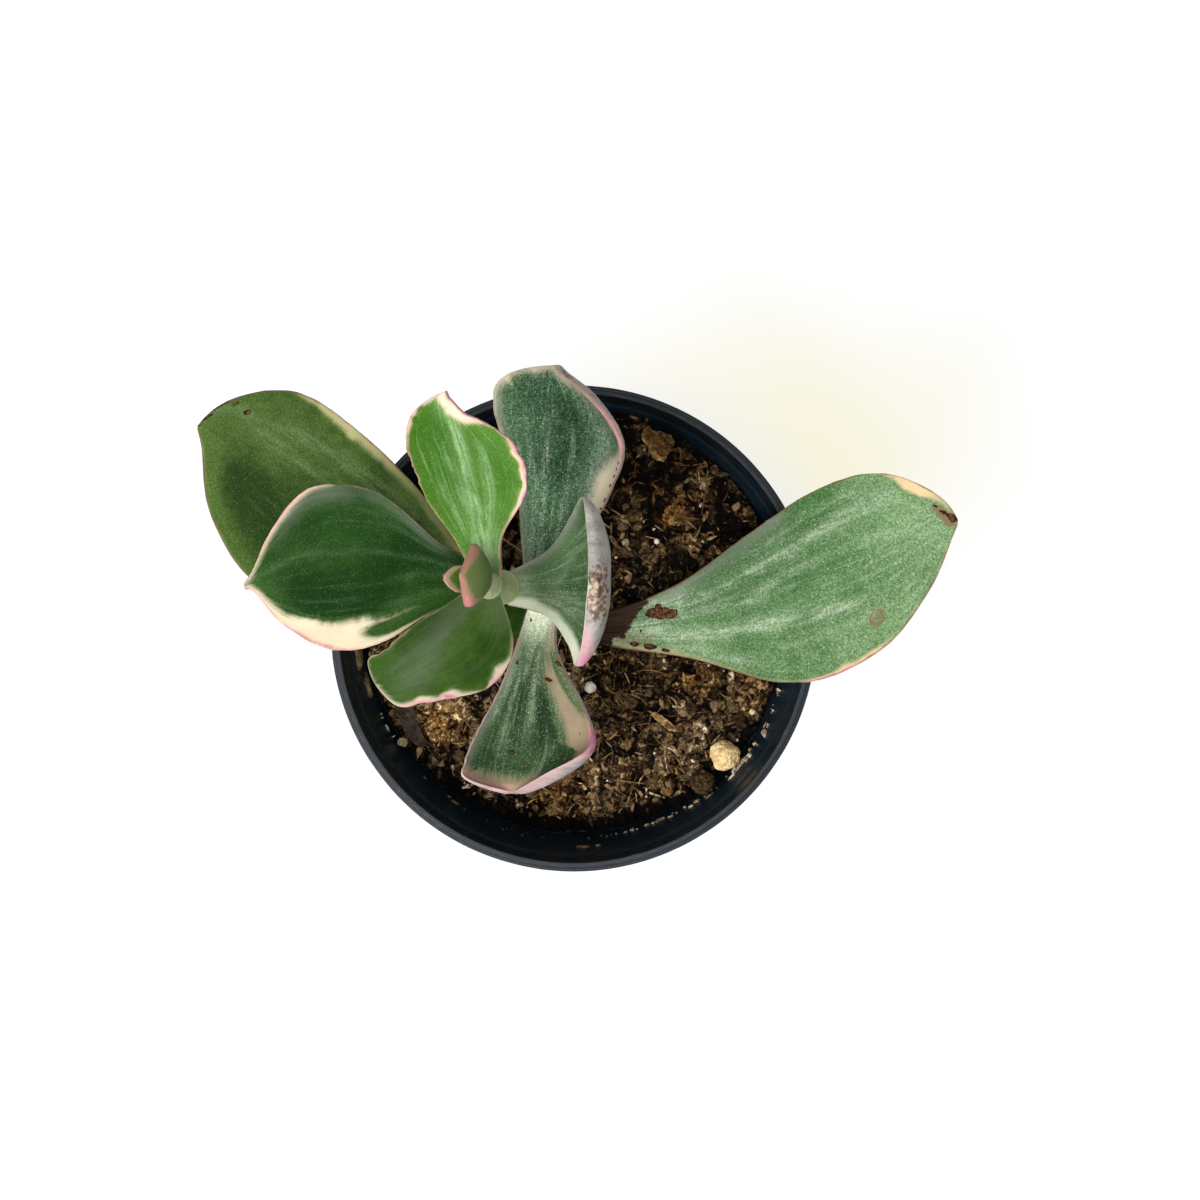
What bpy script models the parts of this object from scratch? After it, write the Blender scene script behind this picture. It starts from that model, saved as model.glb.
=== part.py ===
"""Potted jade plant: a variegated Crassula cutting in a round nursery pot.

World frame: metres, +Z up, origin at the centre of the pot's base. Lengths in the specifications below
are millimetres and angles are degrees; MM turns a length into metres.
"""
import math
import random

import bmesh
import bpy
import numpy as np
from mathutils import Matrix, Vector, noise

MM = 0.001
GAP = 0.3  # clearance between neighbouring pieces

# ---- pot: 3.5 inch round nursery pot ---------------------------------------------------------
POT_HEIGHT = 80.0
POT_RIM_RADIUS = 44.5
POT_BASE_RADIUS = 30.9
COLLAR_HEIGHT = 7.4  # straight-sided band under the lip
COLLAR_INNER_RADIUS = 42.6
WALL = 1.1
FLOOR_TOP = 2.4
FLOOR_UNDERSIDE = 1.0
FOOT_WIDTH = 2.2
CENTRE_PAD_RADIUS = 5.5
DRAIN_COUNT = 6
DRAIN_RADIUS = 3.0
DRAIN_CIRCLE_RADIUS = 20.0
POT_SEGMENTS = 48

# ---- soil ------------------------------------------------------------------------------------
SOIL_CENTRE_HEIGHT = 68.2
SOIL_SLOPE = 0.1  # rise per millimetre towards +Y
SOIL_BUMP = 0.45
SOIL_EDGE_RADIUS = 40.3
SOIL_BACK_REACH = 0.9  # the edge lies closer to the wall at the back
SOIL_FRONT_SHRINK = 2.6  # and has drawn away from it at the front
SOIL_SHOULDER = 1.2  # drop of the surface at its rounded edge
SOIL_SHOULDER_SHARE = 0.1
SOIL_SKIRT_DROP = 2.0
SOIL_RINGS = (0.09, 0.19, 0.3, 0.42, 0.55, 0.68, 0.8, 0.9, 0.96, 1.0)
SOIL_SEGMENTS = 48

# ---- stem: centre line and radius from the buried end to the growing tip ---------------------
STEM_STATIONS = (
    ((3.2, 0.2, 60.0), 3.3),
    ((2.9, 0.4, 67.5), 3.5),
    ((1.6, 1.0, 74.0), 3.6),
    ((-2.6, 3.4, 81.0), 3.0),
    ((-6.0, 5.4, 88.0), 3.2),
    ((-9.2, 6.0, 96.0), 2.6),
    ((-11.1, 5.8, 105.0), 2.8),
    ((-12.0, 5.5, 112.0), 2.2),
    ((-12.4, 5.4, 118.0), 2.3),
    ((-13.0, 5.8, 124.5), 1.5),
)
STEM_SIDES = 16
STEM_SLICES_PER_STATION = 2

# ---- leaves ----------------------------------------------------------------------------------
# base: where the midrib leaves the stem's centre line.  heading, pitch, roll: degrees at the base,
# the middle and the tip.  left, right: half-widths at the base and at 15, 30, 45, 60 and 75 degrees
# of the quarter sine that spaces the stations closer towards the tip, where they end in a point.
# cup_left, cup_right: degrees that each side turns up by at its margin, again base, middle, tip.
LEAVES = {
    "leaf_lower_left": dict(
        base=(0.9, 1.5, 75.0), length=75.9, thickness=3.0, heading=(167.5, 152.4, 143.4),
        pitch=(22, 18, 12), roll=(0, -6, -8), cup_left=(10, 14, 10), cup_right=(10, 18, 15),
        left=(2.4, 9.9, 15.0, 17.2, 11.5, 2.9), right=(2.4, 2.7, 11.2, 15.0, 14.6, 7.9)),
    "leaf_lower_right": dict(
        base=(2.2, -0.2, 72.0), length=70.7, thickness=3.0, heading=(-2, 18.7, 24),
        pitch=(14, 20, 12), roll=(0, 0, 0), cup_left=(30, 30, 12), cup_right=(30, 26, 12),
        left=(2.2, 6.4, 11.8, 14.6, 13.1, 6.7), right=(2.2, 7.0, 16.5, 16.0, 9.7, 3.1)),
    "leaf_back": dict(
        base=(-5.8, 5.4, 88.5), length=40.0, thickness=3.2, heading=(83, 86, 91.5),
        pitch=(26, 18, 8), roll=(0, 0, 0), cup_left=(14, 24, 20), cup_right=(14, 60, 140),
        left=(2.4, 4.1, 5.5, 8.5, 9.9, 7.3), right=(2.4, 6.5, 11.7, 15.6, 10.6, 2.8)),
    "leaf_front": dict(
        base=(-4.8, 5.0, 87.5), length=34.7, thickness=3.2, heading=(-103, -100, -91.5),
        pitch=(10, 0, 24), roll=(0, 0, 0), cup_left=(15, 60, 136), cup_right=(15, 30, 60),
        left=(2.4, 4.1, 11.5, 17.2, 16.4, 9.4), right=(2.4, 3.0, 4.4, 7.1, 9.1, 8.8)),
    "leaf_left": dict(
        base=(-11.0, 6.0, 104.6), length=41.5, thickness=2.8, heading=(154.7, 185.9, 185.5),
        pitch=(22, 16, 8), roll=(0, -6, -8), cup_left=(14, 26, 24), cup_right=(14, 22, 18),
        left=(2.3, 6.5, 11.5, 12.0, 7.3, 1.1), right=(2.3, 3.8, 12.4, 13.9, 8.5, 2.1)),
    "leaf_right_cupped": dict(
        base=(-11.0, 5.6, 104.6), length=28.9, thickness=2.6, heading=(-3, -3, -3),
        pitch=(6, 50, 123), roll=(0, 0, 0), cup_left=(20, 34, 30), cup_right=(20, 34, 30),
        left=(2.4, 6.3, 12.2, 14.8, 12.4, 4.4), right=(2.4, 4.0, 9.0, 12.6, 10.0, 4.4)),
    "leaf_upper_back": dict(
        base=(-12.3, 5.4, 117.4), length=31.0, thickness=2.6, heading=(89.2, 101.6, 112.5),
        pitch=(36, 24, 14), roll=(0, 0, 0), cup_left=(15, 24, 24), cup_right=(15, 24, 24),
        left=(2.0, 4.2, 7.1, 7.8, 7.5, 5.0), right=(2.0, 2.7, 8.0, 6.9, 2.1, 0.4)),
    "leaf_upper_front": dict(
        base=(-12.5, 5.2, 117.4), length=23.9, thickness=2.6, heading=(-120.4, -136.7, -147.9),
        pitch=(38, 26, 14), roll=(0, 0, 0), cup_left=(10, 14, 14), cup_right=(10, 18, 20),
        left=(2.0, 9.0, 10.4, 7.9, 5.8, 4.5), right=(2.0, 2.8, 3.8, 3.8, 3.4, 3.4)),
    "bud_leaf_left": dict(
        base=(-13.2, 5.8, 123.6), length=6.6, thickness=1.5, heading=(180, 178, 176),
        pitch=(60, 46, 30), roll=(0, 0, 0), cup_left=(20, 30, 20), cup_right=(20, 30, 20),
        left=(1.0, 1.6, 2.0, 1.9, 1.3, 0.6), right=(1.0, 1.6, 2.0, 1.9, 1.3, 0.6)),
    "bud_leaf_right": dict(
        base=(-12.9, 5.9, 123.8), length=8.4, thickness=1.5, heading=(-6, -6, -6),
        pitch=(62, 110, 156), roll=(0, 0, 0), cup_left=(20, 34, 20), cup_right=(20, 34, 20),
        left=(1.2, 2.4, 4.4, 5.0, 3.0, 1.0), right=(1.2, 2.2, 3.9, 4.6, 3.0, 1.0)),
}
LEAF_ROWS = 13
LEAF_COLUMNS = 10
BUD_ROWS = 8
BUD_COLUMNS = 6
UPPER_SHARE = 0.12  # part of the leaf's thickness that lies above its margin
LOWER_FULLNESS = 0.75  # below 1 the underside stays full close to the margin
TIP_THINNING = 0.35

# ---- loose pieces on the soil: place in plan, size ---------------------------------------------
GRAINS = {
    "perlite_large": dict(at=(28.4, -24.3), radius=3.0, squash=0.9, colour="perlite_cream"),
    "bark_nugget": dict(at=(24.2, -29.3), radius=2.6, squash=0.85, colour="bark_dark"),
    "perlite_centre": dict(at=(3.0, -11.4), radius=1.25, squash=0.9, colour="perlite"),
    "perlite_right": dict(at=(33.9, -16.0), radius=0.8, squash=0.9, colour="perlite"),
    "perlite_wall": dict(at=(-33.1, -21.9), radius=1.1, squash=0.9, colour="perlite_cream"),
    "perlite_back": dict(at=(15.5, 16.3), radius=0.65, squash=0.9, colour="perlite"),
    "grit_back": dict(at=(9.6, 16.1), radius=0.85, squash=0.75, colour="bark_ochre"),
}
# half-extents along, across and up, and the turn about +Z
CHIPS = {
    "bark_chip_back": dict(at=(15.6, 34.3), half=(3.4, 2.6, 0.9), turn=50, colour="bark"),
    "bark_clump_right": dict(at=(19.1, 21.2), half=(3.0, 2.2, 1.0), turn=15, colour="bark_ochre"),
    "bark_clump_left": dict(at=(-26.3, -19.0), half=(3.2, 2.4, 1.0), turn=70, colour="bark_ochre"),
    "bark_chip_front": dict(at=(16.8, -18.0), half=(3.0, 1.1, 0.6), turn=-35, colour="bark"),
}
STRIP_RADIUS = 36.6
STRIP_HALF_WIDTH = 1.1
STRIP_THICKNESS = 0.6
STRIP_ANGLES = (190.0, 216.0)
STRIP_SEGMENTS = 8

COLOURS = {
    "pot": ((0.016, 0.018, 0.021), 0.42),
    "soil": ((0.085, 0.052, 0.028), 0.95),
    "stem": ((0.33, 0.42, 0.24), 0.5),
    "leaf_dark": ((0.055, 0.135, 0.055), 0.45),
    "leaf_bluish": ((0.075, 0.17, 0.09), 0.45),
    "leaf_bright": ((0.12, 0.29, 0.06), 0.42),
    "leaf_mid": ((0.1, 0.22, 0.085), 0.45),
    "bud": ((0.42, 0.27, 0.17), 0.5),
    "perlite": ((0.78, 0.74, 0.66), 0.9),
    "perlite_cream": ((0.74, 0.55, 0.3), 0.9),
    "bark": ((0.16, 0.09, 0.045), 0.9),
    "bark_dark": ((0.1, 0.06, 0.035), 0.95),
    "bark_ochre": ((0.4, 0.22, 0.08), 0.9),
    "papery": ((0.24, 0.2, 0.17), 0.85),
}
LEAF_COLOURS = {
    "leaf_lower_left": "leaf_dark",
    "leaf_lower_right": "leaf_mid",
    "leaf_back": "leaf_bluish",
    "leaf_front": "leaf_bluish",
    "leaf_left": "leaf_dark",
    "leaf_right_cupped": "leaf_bluish",
    "leaf_upper_back": "leaf_bright",
    "leaf_upper_front": "leaf_mid",
    "bud_leaf_left": "bud",
    "bud_leaf_right": "bud",
}


def clear_scene():
    for old in list(bpy.data.objects):
        bpy.data.objects.remove(old, do_unlink=True)


def principled(name):
    """One Principled material for each object, in the colour of its kind."""
    colour, roughness = COLOURS[name]
    material = bpy.data.materials.new(name)
    material.use_nodes = True
    shader = material.node_tree.nodes["Principled BSDF"]
    shader.inputs["Base Color"].default_value = (*colour, 1.0)
    shader.inputs["Roughness"].default_value = roughness
    shader.inputs["Metallic"].default_value = 0.0
    material.diffuse_color = (*colour, 1.0)
    return material


def add_object(name, bm, colour, smooth=True, sharp_angle=40.0):
    """Close a bmesh into a named object, with outward normals and smooth shading."""
    bmesh.ops.recalc_face_normals(bm, faces=bm.faces)
    limit = math.radians(sharp_angle)
    for face in bm.faces:
        face.smooth = smooth
    for edge in bm.edges:
        if len(edge.link_faces) == 2:
            edge.smooth = edge.calc_face_angle(0.0) < limit
    mesh = bpy.data.meshes.new(name)
    bm.to_mesh(mesh)
    bm.free()
    obj = bpy.data.objects.new(name, mesh)
    bpy.context.scene.collection.objects.link(obj)
    mesh.materials.append(principled(colour))
    return obj


def as_cutter(obj):
    obj.hide_render = True
    obj.display_type = "WIRE"
    return obj


def cut(target, cutter):
    modifier = target.modifiers.new("cut_" + cutter.name, "BOOLEAN")
    modifier.operation = "DIFFERENCE"
    modifier.solver = "EXACT"
    modifier.object = cutter


def loops_to_solid(bm, loops, close_start=True, end_point=None):
    """Skin a list of equal vertex loops; the end is a cap, or a fan to a single point."""
    rings = [[bm.verts.new(point) for point in loop] for loop in loops]
    count = len(rings[0])
    for lower, upper in zip(rings, rings[1:]):
        for i in range(count):
            j = (i + 1) % count
            bm.faces.new((lower[i], lower[j], upper[j], upper[i]))
    if close_start:
        bm.faces.new(tuple(reversed(rings[0])))
    if end_point is None:
        bm.faces.new(tuple(rings[-1]))
    else:
        tip = bm.verts.new(end_point)
        for i in range(count):
            bm.faces.new((rings[-1][i], rings[-1][(i + 1) % count], tip))
    return bm


# ---- pot --------------------------------------------------------------------------------------
def wall_inner_radius(z):
    """Radius of the pot's inner wall, in millimetres, at a height under the collar."""
    top = POT_HEIGHT - COLLAR_HEIGHT
    slope = (COLLAR_INNER_RADIUS + 0.5 - POT_BASE_RADIUS) / (top - 0.7)
    return POT_BASE_RADIUS + slope * (z - 0.7) - WALL


def pot_profile():
    """Closed (radius, height) outline: foot, outer wall, collar, lip, inner wall, floor."""
    collar_foot = POT_HEIGHT - COLLAR_HEIGHT
    foot_inner = POT_BASE_RADIUS - 0.5 - FOOT_WIDTH
    lip_inner = COLLAR_INNER_RADIUS
    inner_step = POT_HEIGHT - 6.0
    return [
        (0.0, 0.0),
        (CENTRE_PAD_RADIUS, 0.0),
        (CENTRE_PAD_RADIUS + 0.6, FLOOR_UNDERSIDE),
        (foot_inner - 0.6, FLOOR_UNDERSIDE),
        (foot_inner, 0.0),
        (POT_BASE_RADIUS - 0.5, 0.0),
        (POT_BASE_RADIUS, 0.7),
        (lip_inner + 0.5, collar_foot),
        (lip_inner + 1.15, collar_foot + 0.5),
        (lip_inner + 1.25, POT_HEIGHT - 3.2),
        (POT_RIM_RADIUS - 0.25, POT_HEIGHT - 2.9),
        (POT_RIM_RADIUS, POT_HEIGHT - 2.5),
        (POT_RIM_RADIUS, POT_HEIGHT - 1.2),
        (POT_RIM_RADIUS - 0.2, POT_HEIGHT - 0.85),
        (POT_RIM_RADIUS - 0.55, POT_HEIGHT - 0.85),
        (POT_RIM_RADIUS - 0.6, POT_HEIGHT - 0.3),
        (POT_RIM_RADIUS - 0.9, POT_HEIGHT),
        (lip_inner + 0.35, POT_HEIGHT),
        (lip_inner + 0.05, POT_HEIGHT - 0.3),
        (lip_inner, inner_step),
        (wall_inner_radius(inner_step - 0.6), inner_step - 0.6),
        (wall_inner_radius(FLOOR_TOP + 0.8), FLOOR_TOP + 0.8),
        (wall_inner_radius(FLOOR_TOP) - 0.6, FLOOR_TOP),
        (0.0, FLOOR_TOP),
    ]


def build_pot():
    profile = pot_profile()
    bm = bmesh.new()
    bottom = bm.verts.new((0.0, 0.0, profile[0][1] * MM))
    top = bm.verts.new((0.0, 0.0, profile[-1][1] * MM))
    rings = []
    for radius, height in profile[1:-1]:
        ring = []
        for i in range(POT_SEGMENTS):
            turn = 2.0 * math.pi * i / POT_SEGMENTS
            ring.append(bm.verts.new((radius * math.cos(turn) * MM, radius * math.sin(turn) * MM,
                                      height * MM)))
        rings.append(ring)
    for i in range(POT_SEGMENTS):
        j = (i + 1) % POT_SEGMENTS
        bm.faces.new((bottom, rings[0][j], rings[0][i]))
        bm.faces.new((top, rings[-1][i], rings[-1][j]))
        for lower, upper in zip(rings, rings[1:]):
            bm.faces.new((lower[i], lower[j], upper[j], upper[i]))
    pot = add_object("pot", bm, "pot", sharp_angle=30.0)

    holes = bmesh.new()
    for i in range(DRAIN_COUNT):
        turn = 2.0 * math.pi * (i + 0.5) / DRAIN_COUNT
        place = Vector((math.cos(turn), math.sin(turn), 0.0)) * DRAIN_CIRCLE_RADIUS
        place.z = (FLOOR_TOP + FLOOR_UNDERSIDE) / 2.0
        bmesh.ops.create_cone(holes, cap_ends=True, segments=16, radius1=DRAIN_RADIUS * MM,
                              radius2=DRAIN_RADIUS * MM, depth=4.0 * MM,
                              matrix=Matrix.Translation(place * MM))
    cut(pot, as_cutter(add_object("drain_cutters", holes, "pot")))
    return pot


# ---- soil -------------------------------------------------------------------------------------
def soil_edge_radius(turn):
    forward = -math.sin(turn)
    return SOIL_EDGE_RADIUS - SOIL_FRONT_SHRINK * max(0.0, forward) + SOIL_BACK_REACH * max(0.0, -forward)


def soil_height(x, y):
    """Height of the soil's surface, in millimetres: a slope, soft bumps and a rounded edge."""
    share = math.hypot(x, y) / soil_edge_radius(math.atan2(y, x))
    bumps = noise.noise(Vector((x * 0.09, y * 0.09, 3.7))) * SOIL_BUMP * 2.0
    edge = max(0.0, (share - 1.0) / SOIL_SHOULDER_SHARE + 1.0)
    return SOIL_CENTRE_HEIGHT + SOIL_SLOPE * y + bumps - SOIL_SHOULDER * edge * edge


def build_soil(stem_clearance):
    base = FLOOR_TOP + GAP
    bm = bmesh.new()
    turns = [2.0 * math.pi * i / SOIL_SEGMENTS for i in range(SOIL_SEGMENTS)]

    def ring(place):
        """Ring of vertices; place gives the radius and the height for each direction."""
        verts = []
        for turn in turns:
            radius, z = place(turn)
            verts.append(bm.verts.new((radius * math.cos(turn) * MM, radius * math.sin(turn) * MM,
                                       z * MM)))
        return verts

    def on_surface(share):
        def place(turn):
            radius = share * soil_edge_radius(turn)
            return radius, soil_height(radius * math.cos(turn), radius * math.sin(turn))
        return place

    def on_wall(height):
        return wall_inner_radius(height) - GAP * 1.1, height

    rings = [ring(on_surface(share)) for share in SOIL_RINGS]
    rings.append(ring(lambda turn: on_wall(on_surface(1.0)(turn)[1] - SOIL_SKIRT_DROP)))
    rings.append(ring(lambda turn: on_wall(base + 30.0)))
    rings.append(ring(lambda turn: on_wall(base + 0.9)))
    rings.append(ring(lambda turn: (on_wall(base)[0] - 0.8, base)))
    centre = bm.verts.new((0.0, 0.0, soil_height(0.0, 0.0) * MM))
    floor = bm.verts.new((0.0, 0.0, base * MM))
    for i in range(SOIL_SEGMENTS):
        j = (i + 1) % SOIL_SEGMENTS
        bm.faces.new((centre, rings[0][i], rings[0][j]))
        bm.faces.new((floor, rings[-1][j], rings[-1][i]))
        for inner, outer in zip(rings, rings[1:]):
            bm.faces.new((inner[i], outer[i], outer[j], inner[j]))
    soil = add_object("soil", bm, "soil")
    cut(soil, stem_clearance)
    return soil


# ---- stem -------------------------------------------------------------------------------------
def catmull(values, place):
    """Value at place (0 to 1) of the smooth curve through evenly spaced values."""
    points = np.asarray(values, dtype=float)
    last = len(points) - 1
    x = min(max(place, 0.0), 1.0) * last
    i = min(int(x), last - 1)
    f = x - i
    before = points[i - 1] if i > 0 else 2.0 * points[0] - points[1]
    after = points[i + 2] if i + 2 <= last else 2.0 * points[last] - points[last - 1]
    p, q = points[i], points[i + 1]
    return p + 0.5 * f * (q - before + f * (2.0 * before - 5.0 * p + 4.0 * q - after
                                            + f * (3.0 * (p - q) + after - before)))


def stem_tube(swell, extend):
    """Closed tube along the stem, wider by swell and longer at both ends by extend."""
    centres = [station[0] for station in STEM_STATIONS]
    radii = [station[1] for station in STEM_STATIONS]
    slices = (len(STEM_STATIONS) - 1) * STEM_SLICES_PER_STATION
    path = [Vector(catmull(centres, i / slices)) for i in range(slices + 1)]
    widths = [float(catmull(radii, i / slices)) + swell for i in range(slices + 1)]
    first = (path[0] - path[1]).normalized()
    last = (path[-1] - path[-2]).normalized()
    path[0] = path[0] + first * extend
    path[-1] = path[-1] + last * extend
    loops = []
    for i, (centre, width) in enumerate(zip(path, widths)):
        ahead = path[min(i + 1, slices)] - path[max(i - 1, 0)]
        across = Vector((0.0, 1.0, 0.0)).cross(ahead).normalized()
        along = ahead.cross(across).normalized()
        loop = []
        for k in range(STEM_SIDES):
            turn = 2.0 * math.pi * k / STEM_SIDES
            loop.append((centre + (across * math.cos(turn) + along * math.sin(turn)) * width) * MM)
        loops.append(loop)
    return loops_to_solid(bmesh.new(), loops)


def build_stem():
    stem = add_object("stem", stem_tube(0.0, 0.0), "stem", sharp_angle=50.0)
    clearance = as_cutter(add_object("stem_clearance", stem_tube(GAP, GAP), "stem"))
    return stem, clearance


# ---- leaves -----------------------------------------------------------------------------------
def along_leaf(three, s):
    """Quadratic through the values at the base, the middle and the tip."""
    a, b, c = three
    return a * (1.0 - s) * (1.0 - 2.0 * s) + b * 4.0 * s * (1.0 - s) + c * s * (2.0 * s - 1.0)


def leaf_frame(leaf, s):
    """Unit vectors along the midrib, to its left and out of the upper face, at fraction s."""
    heading = math.radians(along_leaf(leaf["heading"], s))
    pitch = math.radians(along_leaf(leaf["pitch"], s))
    roll = math.radians(along_leaf(leaf["roll"], s))
    ahead = Vector((math.cos(pitch) * math.cos(heading), math.cos(pitch) * math.sin(heading),
                    math.sin(pitch)))
    side = Vector((-math.sin(heading), math.cos(heading), 0.0))
    up = ahead.cross(side)
    left = side * math.cos(roll) + up * math.sin(roll)
    return ahead, left, ahead.cross(left)


def midrib(leaf, s, steps=60):
    point = Vector(leaf["base"])
    step = leaf["length"] * s / steps
    for i in range(steps):
        point += leaf_frame(leaf, s * (i + 0.5) / steps)[0] * step
    return point


def half_section(width, cup, reach, steps=8):
    """Sideways and upward travel at a fraction reach of the half-width, and the turn there."""
    out = up = 0.0
    for i in range(steps):
        turn = cup * (reach * (i + 0.5) / steps) ** 1.5
        out += math.cos(turn) * width * reach / steps
        up += math.sin(turn) * width * reach / steps
    return out, up, cup * reach ** 1.5


def leaf_loop(leaf, place, columns):
    """Cross-section of a leaf: a flattened oval bent to the cup of its two sides."""
    s = math.sin(place * math.pi / 2.0)
    centre = midrib(leaf, s)
    _, left, up = leaf_frame(leaf, s)
    thickness = leaf["thickness"] * (1.0 - TIP_THINNING * s * s)
    upper, lower = [], []
    for i in range(columns + 1):
        angle = math.pi * (i / columns - 0.5)
        reach = math.sin(angle)
        hand = "left" if reach >= 0.0 else "right"
        width = max(0.4, float(catmull((*leaf[hand], 0.0), place)))
        cup = math.radians(along_leaf(leaf["cup_" + hand], s))
        out, rise, turn = half_section(width, cup, abs(reach))
        sign = 1.0 if reach >= 0.0 else -1.0
        point = centre + left * (sign * out) + up * rise
        normal = up * math.cos(turn) - left * (sign * math.sin(turn))
        depth = thickness * math.cos(angle)
        upper.append(point + normal * (depth * UPPER_SHARE))
        belly = thickness * max(0.0, math.cos(angle)) ** LOWER_FULLNESS
        lower.append(point - normal * (belly * (1.0 - UPPER_SHARE)))
    return [point * MM for point in upper + lower[-2:0:-1]]


def build_leaf(name, stem_clearance):
    leaf = LEAVES[name]
    is_bud = name.startswith("bud")
    rows = BUD_ROWS if is_bud else LEAF_ROWS
    columns = BUD_COLUMNS if is_bud else LEAF_COLUMNS
    loops = [leaf_loop(leaf, row / rows, columns) for row in range(rows)]
    bm = loops_to_solid(bmesh.new(), loops, end_point=midrib(leaf, 1.0) * MM)
    obj = add_object(name, bm, LEAF_COLOURS[name], sharp_angle=60.0)
    cut(obj, stem_clearance)
    return obj


# ---- loose pieces on the soil -------------------------------------------------------------------
def seat_height(points):
    """Height that lifts a piece's points, given from its own centre, just clear of the soil."""
    return max(soil_height(x, y) - z for x, y, z in points) + GAP


def build_grain(name, seed):
    grain = GRAINS[name]
    x, y = grain["at"]
    radius = grain["radius"]
    bm = bmesh.new()
    bmesh.ops.create_icosphere(bm, subdivisions=2 if radius > 1.0 else 1, radius=1.0)
    shift = Vector((seed * 3.1, seed * 1.7, 0.0))
    for vert in bm.verts:
        lump = 1.0 + 0.16 * noise.noise(vert.co * 1.3 + shift)
        vert.co = Vector((vert.co.x, vert.co.y, vert.co.z * grain["squash"])) * radius * lump
    lift = seat_height([(x + v.co.x, y + v.co.y, v.co.z) for v in bm.verts])
    for vert in bm.verts:
        vert.co = (vert.co + Vector((x, y, lift))) * MM
    return add_object(name, bm, grain["colour"])


def build_chip(name, seed):
    chip = CHIPS[name]
    x, y = chip["at"]
    rng = random.Random(seed)
    bm = bmesh.new()
    bmesh.ops.create_cube(bm, size=2.0)
    bmesh.ops.subdivide_edges(bm, edges=bm.edges, cuts=1, use_grid_fill=True)
    turn = Matrix.Rotation(math.radians(chip["turn"]), 3, "Z")
    tilt = Matrix.Rotation(math.atan(SOIL_SLOPE), 3, "X")
    for vert in bm.verts:
        corner = vert.co / max(1.0, vert.co.length ** 0.6)
        ragged = Vector(rng.uniform(0.86, 1.1) for _ in range(3))
        vert.co = tilt @ (turn @ Vector(corner[i] * chip["half"][i] * ragged[i] for i in range(3)))
    lift = seat_height([(x + v.co.x, y + v.co.y, v.co.z) for v in bm.verts])
    for vert in bm.verts:
        vert.co = (vert.co + Vector((x, y, lift))) * MM
    return add_object(name, bm, chip["colour"], smooth=False)


def build_strip():
    """Curved papery strip of bark that lies along the pot's wall."""
    loops = []
    start, end = STRIP_ANGLES
    for i in range(STRIP_SEGMENTS + 1):
        f = i / STRIP_SEGMENTS
        turn = math.radians(start + (end - start) * f)
        width = STRIP_HALF_WIDTH * (0.55 + 0.45 * math.sin(math.pi * f))
        outward = Vector((math.cos(turn), math.sin(turn), 0.0))
        ends = [outward * (STRIP_RADIUS - width), outward * (STRIP_RADIUS + width)]
        inner, outer = [p + Vector((0, 0, soil_height(p.x, p.y) + GAP)) for p in ends]
        middle = (inner + outer) / 2.0
        middle.z = max(middle.z, soil_height(middle.x, middle.y) + GAP)
        top = Vector((0.0, 0.0, STRIP_THICKNESS))
        loop = [inner, middle, outer, outer + top, middle + top * 1.3, inner + top]
        loops.append([p * MM for p in loop])
    return add_object("bark_strip", loops_to_solid(bmesh.new(), loops), "papery")


def main():
    clear_scene()
    build_pot()
    stem, stem_clearance = build_stem()
    build_soil(stem_clearance)
    for name in LEAVES:
        build_leaf(name, stem_clearance)
    for seed, name in enumerate(GRAINS, start=1):
        build_grain(name, seed)
    for seed, name in enumerate(CHIPS, start=21):
        build_chip(name, seed)
    build_strip()


main()
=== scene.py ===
"""Looks of the potted jade plant: a variegated Crassula cutting in a black nursery pot.

Lengths in the specifications are millimetres and angles are degrees; MM turns a length into metres.
Each leaf is the same loft as its CAD solid, on a fine grid, and carries its markings as vertex
attributes that are worked out from short descriptions.
"""
import math

import bmesh
import bpy
import numpy as np
from mathutils import Matrix, Vector, noise


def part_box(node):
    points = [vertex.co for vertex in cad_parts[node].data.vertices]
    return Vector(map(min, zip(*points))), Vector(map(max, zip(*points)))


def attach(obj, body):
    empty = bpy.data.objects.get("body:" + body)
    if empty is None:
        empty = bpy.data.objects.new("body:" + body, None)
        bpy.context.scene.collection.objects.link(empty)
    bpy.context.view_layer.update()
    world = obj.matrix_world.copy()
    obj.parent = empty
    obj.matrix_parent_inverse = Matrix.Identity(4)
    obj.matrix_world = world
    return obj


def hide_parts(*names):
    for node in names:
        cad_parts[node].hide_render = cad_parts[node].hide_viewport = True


MM = 0.001
CELL = 0.42  # leaf grid spacing
SMALL_LEAF = 12.0  # leaves shorter than this have a grid 2.5 times as fine
MARGIN_STEPS = 300
OUTLINE_STEPS = 240
LEAST_HALF_WIDTH = 0.4

# ---- repeated from the CAD source ------------------------------------------------------------
POT_HEIGHT = 80.0
POT_RIM_RADIUS = 44.5
POT_BASE_RADIUS = 30.9
COLLAR_HEIGHT = 7.4
COLLAR_INNER_RADIUS = 42.6
WALL = 1.1
FLOOR_TOP = 2.4
FLOOR_UNDERSIDE = 1.0
FOOT_WIDTH = 2.2
CENTRE_PAD_RADIUS = 5.5
DRAIN_COUNT = 6
DRAIN_RADIUS = 3.0
DRAIN_CIRCLE_RADIUS = 20.0
SOIL_CENTRE_HEIGHT = 68.2
SOIL_SLOPE = 0.1
SOIL_BUMP = 0.45
SOIL_EDGE_RADIUS = 40.3
SOIL_BACK_REACH = 0.9
SOIL_FRONT_SHRINK = 2.6
SOIL_SHOULDER = 1.2
SOIL_SHOULDER_SHARE = 0.1
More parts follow.
